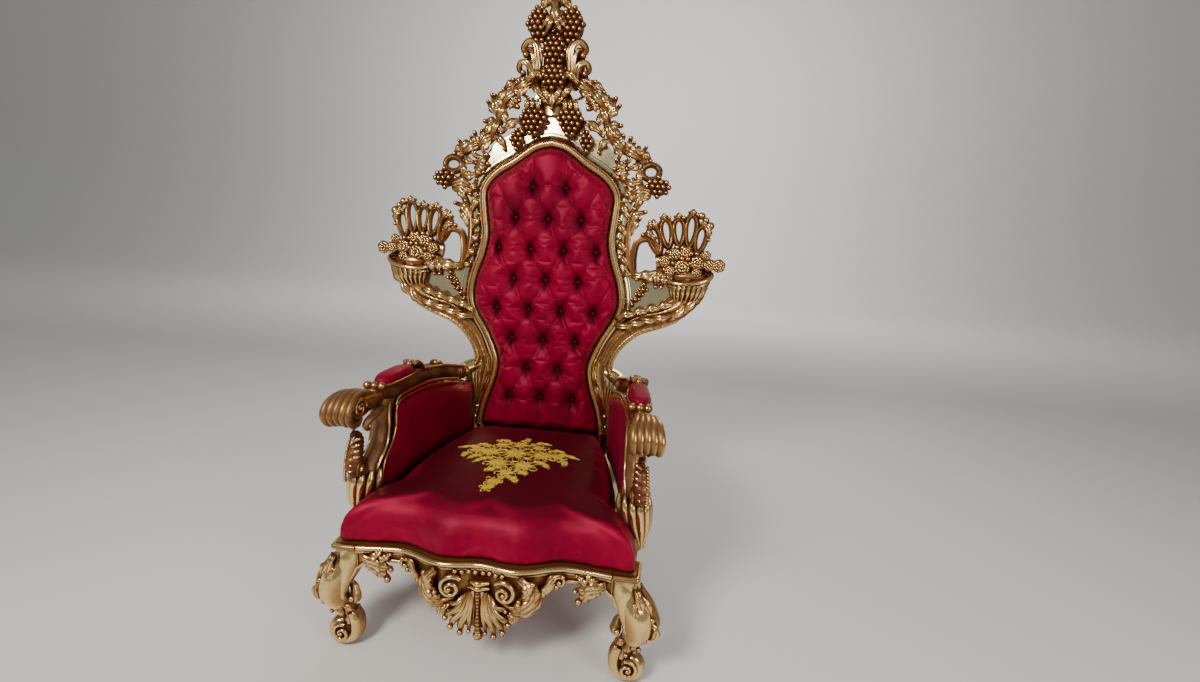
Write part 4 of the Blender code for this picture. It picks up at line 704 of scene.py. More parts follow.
# %% Vine shoulders
BRANCH = [(0.068, 1.612), (0.118, 1.591), (0.157, 1.556), (0.178, 1.517), (0.187, 1.474),
          (0.206, 1.432), (0.240, 1.403), (0.286, 1.386), (0.322, 1.362)]
SHOULDER_LEAVES = [
    ([(0.112, 1.588), (0.122, 1.606), (0.141, 1.612)], 0.0115, 0.0065),
    ([(0.128, 1.588), (0.150, 1.597), (0.172, 1.580)], 0.0105, 0.006),
    ([(0.180, 1.490), (0.198, 1.530), (0.211, 1.562)], 0.0125, 0.007),
    ([(0.182, 1.490), (0.208, 1.518), (0.226, 1.540)], 0.0110, 0.006),
    ([(0.178, 1.506), (0.184, 1.540), (0.186, 1.568)], 0.0090, 0.005),
    ([(0.190, 1.455), (0.212, 1.475), (0.234, 1.476)], 0.0130, 0.007),
    ([(0.194, 1.445), (0.222, 1.448), (0.238, 1.436)], 0.0115, 0.006),
    ([(0.246, 1.398), (0.262, 1.416), (0.269, 1.438)], 0.0120, 0.007),
    ([(0.256, 1.396), (0.276, 1.410), (0.282, 1.424)], 0.0095, 0.005),
    ([(0.282, 1.388), (0.298, 1.400), (0.312, 1.393)], 0.0105, 0.006),
    ([(0.300, 1.376), (0.324, 1.382), (0.340, 1.367)], 0.0110, 0.006),
    ([(0.163, 1.536), (0.143, 1.534), (0.121, 1.526)], 0.0145, 0.008),
    ([(0.160, 1.550), (0.128, 1.573), (0.084, 1.556)], 0.0080, 0.004),
    ([(0.098, 1.478), (0.126, 1.478), (0.152, 1.462), (0.176, 1.440)], 0.0125, 0.006),
    ([(0.100, 1.470), (0.106, 1.450), (0.118, 1.444)], 0.0110, 0.005),
    ([(0.218, 1.420), (0.190, 1.424), (0.170, 1.408), (0.164, 1.388)], 0.0100, 0.006),
    ([(0.262, 1.342), (0.240, 1.350), (0.224, 1.366)], 0.0140, 0.007),
    ([(0.266, 1.334), (0.242, 1.328), (0.220, 1.336)], 0.0130, 0.007),
    ([(0.266, 1.328), (0.252, 1.312), (0.234, 1.308)], 0.0110, 0.006),
    ([(0.300, 1.366), (0.290, 1.345), (0.262, 1.338)], 0.0115, 0.005),
    ([(0.316, 1.300), (0.284, 1.294), (0.250, 1.304)], 0.0135, 0.007),
    ([(0.320, 1.346), (0.306, 1.316), (0.318, 1.284)], 0.0105, 0.004),
    ([(0.352, 1.262), (0.312, 1.272), (0.268, 1.252)], 0.0150, 0.008),
    ([(0.348, 1.254), (0.312, 1.250), (0.280, 1.232)], 0.0120, 0.006),
    ([(0.340, 1.250), (0.312, 1.236), (0.296, 1.208)], 0.0120, 0.006),
]


def shoulder_carving():
    half = Carving()
    stem(half, [on_back(u, v, -0.002) for u, v in flat_route(BRANCH)], [0.017, 0.0145, 0.0150], flat=1.3,
         sides=20, flutes=6, cut=0.20)
    grape_bunch(half, on_back, (0.063, 1.490), 0.048, 0.061, 0.046, 0.0100, drop=0.25, seed=5)
    grape_bunch(half, on_back, (0.121, 1.420), 0.029, 0.033, 0.026, 0.0092, seed=6)
    grape_bunch(half, on_back, (0.370, 1.283), 0.040, 0.036, 0.032, 0.0096, seed=7)
    for route, width, knob in SHOULDER_LEAVES:
        leaf(half, on_back, route, width, out=0.006, lobes=2, knob=knob)
    branch = [Vector(p) for p in flat_route(BRANCH)]
    for n in range(0, len(branch) - 5, 5):
        here, step = branch[n], branch[n + 5] - branch[n]
        side = Vector((-step.y, step.x)).normalized() * (1 if n % 2 else -1)
        leaf(half, on_back, [here, here + 0.6 * step, here + 1.15 * step], 0.0115, out=0.014, lobes=1,
             fat=0.5)
        leaf(half, on_back, [here + 0.1 * step, here + 0.55 * step + 0.015 * side,
                             here + 0.95 * step + 0.022 * side,
             here + 1.05 * step + 0.040 * side], 0.0105, out=0.010, lobes=2, knob=0.0045)
        leaf(half, on_back, [here + 0.2 * step, here + 0.5 * step - 0.020 * side,
                             here + 0.30 * step - 0.036 * side],
             0.0100, out=0.006, lobes=1, knob=0.0045)
    for k in range(3):
        u = 0.044 + 0.018 * k
        leaf(half, on_back, [(u, 1.552), (u + 0.002, 1.530), (u - 0.002 + 0.004 * k, 1.506)], 0.0075,
             out=0.034)
    ring = [on_back(0.343 + 0.029 * math.cos(a), 1.331 + 0.024 * math.sin(a), 0.006)
            for a in circle_turns(24)]
    stem(half, ring, 0.0115, flat=1.4, flutes=4, cut=0.15)
    return both_halves(half, "vine_shoulders")


shoulders = shoulder_carving()

# %% [markdown]
# Between the buttoned pad and the ornament lies a flat board in pale gold. Its inner edge carries a run
# moulding: a thin bead, a small hollow, a rounded ridge and a wide hollow that dies into the board.
# A moulding is a profile swept along a line, so one list of heights makes the whole frame at once.

# %% Field and opening moulding
OPENING_AND_EDGE = [
    ((0.000, 1.403), (0.000, 1.600)), ((0.045, 1.392), (0.050, 1.580)), ((0.085, 1.367), (0.092, 1.510)),
    ((0.125, 1.338), (0.125, 1.450)), ((0.175, 1.308), (0.200, 1.405)), ((0.208, 1.275), (0.245, 1.335)),
    ((0.224, 1.237), (0.278, 1.260)), ((0.220, 1.176), (0.292, 1.180)), ((0.213, 1.100), (0.288, 1.090)),
    ((0.225, 1.030), (0.310, 1.000)), ((0.252, 0.950), (0.430, 0.985)), ((0.261, 0.880), (0.445, 0.900)),
    ((0.245, 0.825), (0.360, 0.830)), ((0.205, 0.757), (0.290, 0.750)), ((0.175, 0.690), (0.250, 0.685)),
    ((0.164, 0.640), (0.245, 0.640)), ((0.175, 0.575), (0.285, 0.575)), ((0.203, 0.490), (0.300, 0.490)),
    ((0.216, 0.420), (0.300, 0.420)), ((0.220, 0.311), (0.300, 0.311)),
]


def opening_route(grow=0.0, per=3):
    """The edge of the back's opening, from its top to the seat, moved outwards by `grow`."""
    flat = smooth_route([Vector((*inner, 0)) for inner, _ in OPENING_AND_EDGE], per)
    moved = []
    for i, p in enumerate(flat):
        along = (flat[min(i + 1, len(flat) - 1)] - flat[max(i - 1, 0)]).normalized()
        if i == 0:
            along = Vector((1, 0, 0))
        moved.append(p + grow * Vector((-along.y, along.x, 0)))
    return moved


def profile_run(carving, centre_line, profile, place):
    """Sweeps a closed (across, out, crest) profile along a drawn line."""
    rings, crests = [], []
    for i, p in enumerate(centre_line):
        along = (centre_line[min(i + 1, len(centre_line) - 1)] - centre_line[max(i - 1, 0)]).normalized()
        side = Vector((-along.y, along.x))
        rings.append([place(p.x + side.x * a, p.y + side.y * a, out) for a, out, _ in profile])
        crests.append([c for _, _, c in profile])
    carving.skin(rings, crests)


OPENING_PROFILE = [
    (-0.001, -0.020, 0.0), (-0.001, 0.004, 0.3), (0.001, 0.009, 0.9), (0.0035, 0.011, 1.0),
    (0.006, 0.009, 0.7),
    (0.0075, 0.006, 0.1), (0.010, 0.0055, 0.2), (0.012, 0.009, 0.5), (0.0145, 0.0165, 0.9),
    (0.0180, 0.0195, 1.0),
    (0.0215, 0.0175, 0.85), (0.0245, 0.012, 0.5), (0.028, 0.008, 0.3), (0.033, 0.0045, 0.35),
    (0.038, 0.003, 0.5),
    (0.041, 0.0035, 0.85), (0.044, 0.002, 0.6), (0.0455, -0.004, 0.2), (0.030, -0.020, 0.0),
]


def across_middle(half):
    """A half line that starts on the middle, made whole with its mirror image."""
    return [Vector((-p.x, p.y, 0)) for p in reversed(half[1:])] + half


def field_carving():
    carving = Carving(paleness=1.0)
    inner = across_middle(opening_route(-0.001, 6))
    outer = across_middle(smooth_route([Vector((*edge, 0)) for _, edge in OPENING_AND_EDGE], 6))
    rings, crests = [], []
    steps = 8
    for a, b in zip(inner, outer):
        ring = []
        for k in range(steps + 1):
            p = a.lerp(b, k / steps)
            ring.append(on_back(p.x, p.y, 0.0012 * math.sin(9 * p.y + 17 * p.x)))
        for k in range(steps, -1, -1):
            p = a.lerp(b, k / steps)
            ring.append(on_back(p.x, p.y, -BACK_BOARD + 0.002))
        rings.append(ring)
        crests.append([0.62] * (steps + 1) + [0.30] * (steps + 1))
    carving.skin(rings, crests)
    carving.paleness = 0.95
    line = across_middle([p for p in opening_route(0.0, 8) if p.y > 0.405])
    profile_run(carving, line, OPENING_PROFILE, on_back)
    return carving


def squared_ring(low, high, z, sides, power, base):
    """A level ring round a rectangle with rounded corners, and its crest values."""
    middle, half = (low + high) / 2, (high - low) / 2
    ring, row = [], []
    for k in range(sides):
        turn = 2 * math.pi * k / sides
        cx, cy = squarish(math.cos(turn), power), squarish(math.sin(turn), power)
        ring.append(Vector((middle.x + half.x * cx, middle.y + half.y * cy, z)))
        row.append(base + 0.35 * min(abs(cx), abs(cy)))
    return ring, row


def rear_leg(carving):
    """The stile's lower end: a block at the seat frame, then a leg that kicks back."""
    front, block, outer = BACK_FACE_Y - 0.002, 0.048, SEAT_BACK_HALF
    stations = [(0.442, 0.0, 0.222, block), (0.330, 0.0, 0.222, block), (0.232, 0.0, 0.222, block),
                (0.205, 0.003, 0.246, 0.047), (0.170, 0.012, 0.253, 0.046), (0.120, 0.028, 0.254, 0.044),
                (0.070, 0.058, 0.254, 0.042), (0.030, 0.088, 0.254, 0.041), (0.0, 0.112, 0.254, 0.041)]
    rings, crests = [], []
    for z, back, inner, deep in stations:
        y = front + back
        ring, row = squared_ring(Vector((inner, y)), Vector((outer, y + deep)), z, 24, 0.28, 0.55)
        rings.append(ring)
        crests.append(row)
    carving.skin(rings, crests)


def back_frame_plain():
    carving = field_carving()
    half = Carving(paleness=0.55)
    rear_leg(half)
    route = [on_back(0.226, 0.630, -0.020), on_back(0.256, 0.622, -0.014),
             Vector((0.286, 0.288, 0.610)), Vector((0.292, 0.2585, 0.606))]
    half.paleness = 0.35
    stem(half, smooth_route(route, 5), [0.022, 0.026, 0.0262, 0.026], facing=(0, 0, 1), sides=20,
         flutes=7, cut=0.10)
    mirrored_into(carving, half)
    return carving.finish("back_field", FRAME_GOLD)


back_field = back_frame_plain()

# %% [markdown]
# Down the outside of the field runs a second vine, and low on the stile there is a fluted husk with two
# beads in a red-brown hollow. The stile's outer edge is a rounded moulding with small slanted ribs, the
# kind a carver cuts with one gouge, so a ribbed stem stands for it.

# %% Stiles
STILE_VINE = [(0.334, 1.268), (0.303, 1.217), (0.281, 1.165), (0.278, 1.087), (0.290, 1.020), (0.316, 0.980)]
STILE_LEAVES = [
    ([(0.284, 1.135), (0.300, 1.185), (0.334, 1.200)], 0.0120, 0.007),
    ([(0.286, 1.120), (0.304, 1.158), (0.318, 1.176)], 0.0090, 0.005),
    ([(0.282, 1.170), (0.262, 1.205), (0.254, 1.230)], 0.0100, 0.005),
    ([(0.280, 1.112), (0.258, 1.140), (0.248, 1.166)], 0.0100, 0.005),
    ([(0.284, 1.060), (0.262, 1.082), (0.252, 1.106)], 0.0100, 0.005),
    ([(0.296, 1.010), (0.274, 1.034), (0.262, 1.056)], 0.0100, 0.005),
    ([(0.296, 1.235), (0.272, 1.256), (0.260, 1.282)], 0.0100, 0.005),
    ([(0.306, 0.994), (0.288, 0.990), (0.272, 0.998)], 0.0085, 0.005),
]
STILE_EDGE = [(0.470, 0.842), (0.420, 0.818), (0.343, 0.790), (0.299, 0.758), (0.268, 0.722), (0.247, 0.681),
              (0.242, 0.648), (0.252, 0.622)]


def stile_carving():
    half = Carving()
    stem(half, [on_back(u, v, -0.002) for u, v in flat_route(STILE_VINE)], [0.0135, 0.0125, 0.0145],
         flat=1.4,
         sides=18, flutes=5, cut=0.2)
    for route, width, knob in STILE_LEAVES:
        leaf(half, on_back, route, width, out=0.003, lobes=2, knob=knob)
    half.paleness = 0.55
    edge = flat_route(STILE_EDGE, 10)
    stem(half, [on_back(u, v, -0.004) for u, v in edge], [0.011, 0.013, 0.013, 0.012], flat=1.5, sides=14,
         ribs=42, rib_cut=0.10)
    half.paleness = 0.1
    inner = flat_route([(0.330, 0.806), (0.284, 0.772), (0.250, 0.730), (0.226, 0.690), (0.214, 0.648),
                        (0.216, 0.606), (0.226, 0.560), (0.236, 0.500), (0.240, 0.436)], 6)
    stem(half, [on_back(u, v, -0.003) for u, v in inner], [0.006, 0.010, 0.013, 0.012, 0.008], flat=1.0,
         flutes=5, cut=0.25)
    for k in range(4):
        u = 0.222 + 0.011 * k
        lean = 0.004 * (1.5 - k)
        flute = flat_route([(u - lean, 0.606), (u, 0.572), (0.238 + 0.3 * (u - 0.238), 0.506)], 5)
        stem(half, [on_back(a, b, 0.002) for a, b in flute], [0.0030, 0.0052, 0.0022], sides=8)
    half.paleness = 0.4
    bead(half, on_back(0.237, 0.475, 0.008), 0.0085)
    bead(half, on_back(0.2415, 0.436, 0.008), 0.0080)
    return both_halves(half, "stile_carving")


stiles = stile_carving()

# %% [markdown]
# Each wing of the back is a horn of plenty lying on its side. The horn is a curved cone with flutes that
# wind round it, a thick rim, flowers that fill its mouth and a fan of open loops above them.
# Flutes come from a wave added to the cone's radius, and the wave's start turns as the cone goes on.

# %% Horns of plenty
HORN_LINE = [(0.222, 0.660), (0.262, 0.752), (0.336, 0.822), (0.414, 0.852), (0.468, 0.890), (0.498, 0.944),
             (0.500, 0.984)]
HORN_RADII = [0.022, 0.028, 0.038, 0.041, 0.047, 0.061, 0.071]
MOUTH_U = 0.498
CROWN_LOOPS = [((0.390, 1.064), (0.358, 1.150)), ((0.420, 1.086), (0.401, 1.178)),
               ((0.456, 1.094), (0.448, 1.182)),
               ((0.488, 1.092), (0.494, 1.196)), ((0.518, 1.072), (0.532, 1.160))]
FLOWERS = [((0.410, 1.040), 0.022), ((0.443, 1.064), 0.024), ((0.478, 1.072), 0.022),
           ((0.470, 1.022), 0.031),
           ((0.520, 1.040), 0.026), ((0.430, 1.008), 0.020), ((0.520, 1.004), 0.020),
           ((0.560, 1.034), 0.021),
           ((0.592, 1.034), 0.023), ((0.548, 1.066), 0.017)]


def flower(carving, place, centre, radius, out):
    """A rosette: an eye in a ring of cupped petals over a second ring."""
    u, v = centre
    bead(carving, place(u, v, out - radius * 0.2), radius * 0.72)
    for ring, petals, reach, lift in ((0, 6, 0.98, 0.0), (1, 5, 0.60, 0.30)):
        for k in range(petals):
            turn = 2 * math.pi * (k + 0.5 * ring) / petals + 0.3
            tip = (u + reach * radius * math.cos(turn), v + reach * radius * math.sin(turn))
            mid = (u + 0.6 * reach * radius * math.cos(turn), v + 0.6 * reach * radius * math.sin(turn))
            leaf(carving, place, [centre, mid, tip], radius * (0.40 - 0.1 * ring), out=out + lift * radius,
                 lift=0.15 * radius, lobes=0, thick=0.003, fat=0.45)
    bead(carving, place(u, v, out + radius * 0.55), radius * 0.26, fine=2)


def horn(carving, place):
    line = flat_route(HORN_LINE, 8)
    carving.paleness = 0.30
    stem(carving, [place(u, v, 0.000) for u, v in line], HORN_RADII, flat=0.66, sides=64, flutes=9, cut=0.16,
         twist=2.6, ribs=22, rib_cut=0.035)
    carving.paleness = 0.0
    for height, size, thick in ((0.990, 0.074, 0.0088), (0.976, 0.068, 0.0060)):
        rim = [place(MOUTH_U + size * math.cos(a), height + 0.020 * math.sin(a) + 0.010 * math.cos(a),
                     0.012 - 0.034 * math.sin(a)) for a in circle_turns(36)]
        stem(carving, rim, thick, sides=10)
    bead(carving, place(MOUTH_U, 0.988, 0.004), 1.0, (0.066, 0.026, 0.026), fine=4, keen=4)
    for k in range(4):
        u, v = 0.256 + 0.042 * k, 0.826 + 0.013 * k
        leaf(carving, place, [(u, v), (u + 0.035, v + 0.024), (u + 0.082, v + 0.026)], 0.0110, out=0.018,
             lobes=2)
        leaf(carving, place, [(u, v - 0.018), (u + 0.040, v - 0.015), (u + 0.078, v + 0.002)], 0.0100,
             out=0.026,
             lobes=1, fat=0.5)
    for k, (u, v) in enumerate(((0.432, 0.842), (0.474, 0.864), (0.510, 0.900))):
        leaf(carving, place, [(u, v), (u + 0.038 - 0.006 * k, v + 0.024 + 0.006 * k),
             (u + 0.062 - 0.004 * k, v + 0.072 + 0.006 * k)], 0.0125, out=0.020, lobes=2, fat=0.5)
    for k in range(9):
        lean = -1.15 + 0.29 * k
        high = (MOUTH_U + 0.066 * math.sin(lean), 0.962 + 0.004 * math.cos(lean))
        low = (0.489 + 0.048 * math.sin(lean), 0.908 + 0.004 * math.cos(lean))
        flute = [place(*high, 0.052 * math.cos(lean)), place((high[0] + low[0]) / 2, (high[1] + low[1]) / 2,
                 0.050 * math.cos(lean)), place(*low, 0.038 * math.cos(lean))]
        stem(carving, smooth_route(flute, 4), [0.0075, 0.0085, 0.0035], sides=10)


def wing_carving():
    half = Carving()
    horn(half, on_back)
    half.paleness = 0.3
    for (u0, v0), (u1, v1) in CROWN_LOOPS:
        long, wide = 0.5 * math.hypot(u1 - u0, v1 - v0), 0.0180
        along = Vector((u1 - u0, v1 - v0)).normalized()
        ring = []
        for a in circle_turns(28):
            reach, off = long * math.cos(a), wide * math.sin(a) * (1 + 0.25 * math.cos(a))
            ring.append(on_back((u0 + u1) / 2 + along.x * reach - along.y * off,
                                (v0 + v1) / 2 + along.y * reach + along.x * off, 0.004))
        stem(half, ring, 0.0100, flat=1.6, sides=16, flutes=4, cut=0.22)
        tip, aside = Vector((u1, v1)) + 0.004 * along, 0.016 * Vector((along.y, -along.x))
        leaf(half, on_back, [tip - aside, tip + 0.006 * along, tip + aside], 0.0085, out=0.008, lobes=2,
             knob=0.0065)
    half.paleness = 0.0
    for knob, size in (((0.553, 1.164), 0.0150), ((0.523, 1.196), 0.0130), ((0.538, 1.182), 0.0115)):
        bead(half, on_back(*knob, 0.010), size)
    leaf(half, on_back, [(0.530, 1.176), (0.548, 1.150), (0.552, 1.118)], 0.0100, out=0.010, knob=0.006)
    leaf(half, on_back, [(0.380, 1.140), (0.366, 1.166), (0.352, 1.168)], 0.0085, out=0.008, knob=0.006)
    base = flat_route([(0.380, 1.030), (0.450, 1.040), (0.520, 1.035), (0.590, 1.035)], 4)
    stem(half, [on_back(u, v, -0.006) for u, v in base], [0.026, 0.040, 0.034, 0.014], flat=0.55)
    grape_bunch(half, on_back, (0.468, 1.052), 0.078, 0.044, 0.022, 0.0105, seed=31)
    for centre, radius in FLOWERS:
        flower(half, on_back, centre, radius, 0.020)
    ring = flat_route([(0.306, 0.990), (0.302, 1.050), (0.312, 1.098), (0.345, 1.112), (0.374, 1.094),
                       (0.388, 1.060)], 6)
    stem(half, [on_back(u, v, 0.0) for u, v in ring], [0.0125, 0.0140, 0.0120], flat=1.4, sides=18, flutes=5,
         cut=0.2)
    leaves = [
        ([(0.300, 0.985), (0.350, 0.987), (0.410, 1.012)], 0.0140, 0.007),
        ([(0.404, 1.010), (0.388, 0.980), (0.386, 0.950)], 0.0120, 0.006),
        ([(0.410, 1.004), (0.412, 0.976), (0.404, 0.950)], 0.0110, 0.006),
        ([(0.394, 1.006), (0.364, 0.980), (0.345, 0.958)], 0.0120, 0.006),
        ([(0.386, 1.000), (0.350, 0.990), (0.318, 0.972)], 0.0120, 0.006),
        ([(0.416, 1.004), (0.432, 0.982), (0.430, 0.956)], 0.0100, 0.005),
        ([(0.376, 1.108), (0.352, 1.128), (0.330, 1.124)], 0.0105, 0.007),
    ]
    for route, width, knob in leaves:
        leaf(half, on_back, route, width, out=0.010, lobes=2, knob=knob)
    for k in range(5):
        grape_bunch(half, on_back, (0.344 - 0.012 * k, 0.938 - 0.018 * k), 0.017 - 0.002 * k, 0.014, 0.010,
                    0.0066, seed=20 + k)
    return both_halves(half, "horns_of_plenty")


wings = wing_carving()

# %% [markdown]
# The apron is the curved front rail. A plain bead runs along its top, two volutes face each other at the
# middle, and a ribbed palm leaf hangs between them. Long leaves sweep outwards to small curls near the legs.
# The board behind follows the same bowed plan, and its lower edge is sawn to the drawing.

# %% Apron
APRON_EDGE = [(0.000, 0.118), (0.050, 0.128), (0.074, 0.152), (0.090, 0.186), (0.130, 0.206),
              (0.160, 0.236), (0.187, 0.260), (0.225, 0.262), (0.300, 0.262), (0.333, 0.240)]
APRON_THICK = 0.040
APRON_LEAVES = [
    ([(0.096, 0.212), (0.124, 0.216), (0.146, 0.244), (0.140, 0.276)], 0.0130, 0.014, 0.007),
    ([(0.088, 0.196), (0.120, 0.198), (0.148, 0.214), (0.164, 0.240)], 0.0130, 0.010, 0.006),
    ([(0.078, 0.190), (0.094, 0.176), (0.112, 0.190)], 0.0100, 0.008, 0.005),
    ([(0.108, 0.292), (0.128, 0.272), (0.126, 0.246), (0.108, 0.232)], 0.0115, 0.016, 0.006),
    ([(0.150, 0.232), (0.170, 0.252), (0.186, 0.282), (0.210, 0.286)], 0.0100, 0.010, 0.006),
    ([(0.160, 0.246), (0.182, 0.262), (0.196, 0.258)], 0.0090, 0.010, 0.006),
    ([(0.320, 0.280), (0.290, 0.272), (0.262, 0.258), (0.242, 0.250)], 0.0120, 0.010, 0.006),
    ([(0.312, 0.276), (0.288, 0.260), (0.266, 0.238), (0.252, 0.222)], 0.0130, 0.010, 0.008),
    ([(0.306, 0.274), (0.294, 0.258), (0.284, 0.244)], 0.0095, 0.010, 0.006),
    ([(0.300, 0.282), (0.280, 0.290), (0.266, 0.304)], 0.0085, 0.007, 0.004),
    ([(0.286, 0.276), (0.262, 0.280), (0.244, 0.292)], 0.0085, 0.007, 0.004),
]


def apron_carving():
    half = Carving(paleness=0.35)
    edge = [(0.0, 0.118)] + flat_route(APRON_EDGE, 6)
    rings, crests = [], []
    for u, v in edge:
        face = [on_apron(u, v + (TIMBER_TOP - v) * k / 6) for k in range(7)]
        rings.append(face + [p + Vector((0, APRON_THICK, 0)) for p in reversed(face)])
        crests.append([0.34] * 7 + [0.4] * 7)
    half.skin(rings, crests)
    half.paleness = 0.6
    across = [0.333 * k / 40 for k in range(41)]
    for height, size, out in ((0.3035, 0.0072, 0.006), (0.2905, 0.0036, 0.003)):
        stem(half, [on_apron(u, height, out) for u in across], size, sides=14)
    half.paleness = 0.15
    low_line = [(u, v + 0.006) for u, v in flat_route(APRON_EDGE, 6) if u > 0.09]
    stem(half, [on_apron(u, v, 0.002) for u, v in low_line], 0.0055, sides=10)
    scroll(half, on_apron, (0.069, 0.247), 0.030, 1.65, 0.0078, 0.012, start=2.4, hand=-1, rise=0.014)
    scroll(half, on_apron, (0.203, 0.272), 0.016, 1.2, 0.0060, 0.010, start=3.4, hand=-1, rise=0.008)
    outer_curl = flat_route([(0.062, 0.214), (0.092, 0.204), (0.116, 0.222), (0.122, 0.254),
                             (0.108, 0.284)], 6)
    stem(half, [on_apron(u, v, 0.008) for u, v in outer_curl], [0.006, 0.008, 0.007, 0.005], sides=10,
         flutes=3)
    for route, width, out, knob in APRON_LEAVES:
        leaf(half, on_apron, route, width, out=out, lift=0.008, lobes=3, knob=knob)
    fan = [
        ([(0.016, 0.238), (0.022, 0.190), (0.040, 0.150), (0.044, 0.122)], 0.0100, 0.018, 0.0070),
        ([(0.022, 0.232), (0.034, 0.190), (0.058, 0.160), (0.068, 0.138)], 0.0100, 0.016, 0.0070),
        ([(0.028, 0.226), (0.044, 0.196), (0.070, 0.176), (0.082, 0.162)], 0.0095, 0.014, 0.0065),
        ([(0.030, 0.222), (0.052, 0.206), (0.074, 0.198)], 0.0080, 0.012, 0.0050),
        ([(0.014, 0.230), (0.018, 0.170), (0.022, 0.126)], 0.0065, 0.020, 0.0050),
    ]
    for route, width, out, knob in fan:
        leaf(half, on_apron, route, width, out=out, lift=0.010, lobes=1, knob=knob, fat=0.8)
    for k in range(4):
        bead(half, on_apron(0.010 + 0.017 * k, 0.284 + 0.002 * (k % 2), 0.006), 0.0075)
    carving = Carving()
    mirrored_into(carving, half)
    for v, size in ((0.262, 0.0090), (0.247, 0.0075)):
        band = [on_apron(u, v - 0.10 * u * u / 0.03, 0.022 - 0.5 * abs(u)) for u in
                (-0.026, -0.018, -0.009, 0.0, 0.009, 0.018, 0.026)]
        stem(carving, band, [0.005, size, 0.005], sides=12)
    middle = flat_route([(0.0, 0.240), (0.0, 0.180), (0.0, 0.116)], 12)
    stem(carving, [on_apron(u, v, 0.020) for u, v in middle], [0.0085, 0.0070, 0.0095], sides=12, ribs=12,
         rib_cut=0.18)
    for side in (-1, 1):
        strand = flat_route([(side * 0.012, 0.242), (side * 0.011, 0.200), (side * 0.012, 0.160)], 6)
        stem(carving, [on_apron(u, v, 0.018) for u, v in strand], [0.0060, 0.0058, 0.0045], sides=10)
    bead(carving, on_apron(0, 0.112, 0.018), 0.0135)
    return carving.finish("apron", CARVED_GOLD)


apron = apron_carving()

# %% [markdown]
# Each front leg is a short cabriole: a squared block at the seat corner, a knee with a leaf hanging over it,
# a pinched ankle and a foot that rolls into a volute. The leg is a fat bent stem, and the leaves and volutes
# lie on it. The right one is carved and the left one is its mirror image.

# %% Front legs
LEG_BODY = [(0.366, 0.034, 0.290), (0.374, 0.028, 0.245), (0.396, 0.012, 0.205), (0.406, 0.004, 0.172),
            (0.398, 0.008, 0.142), (0.384, 0.018, 0.118), (0.376, 0.022, 0.092), (0.366, 0.022, 0.070)]


def block_rings(low, high, steps):
    """A squared block with rounded corners, as rings from bottom to top."""
    rings, crests = [], []
    for s in range(steps + 1):
        z = low.z + (high.z - low.z) * (s / steps)
        ring, row = squared_ring(low, high, z, 32, 0.22, 0.5)
        rings.append(ring)
        crests.append(row)
    return rings, crests


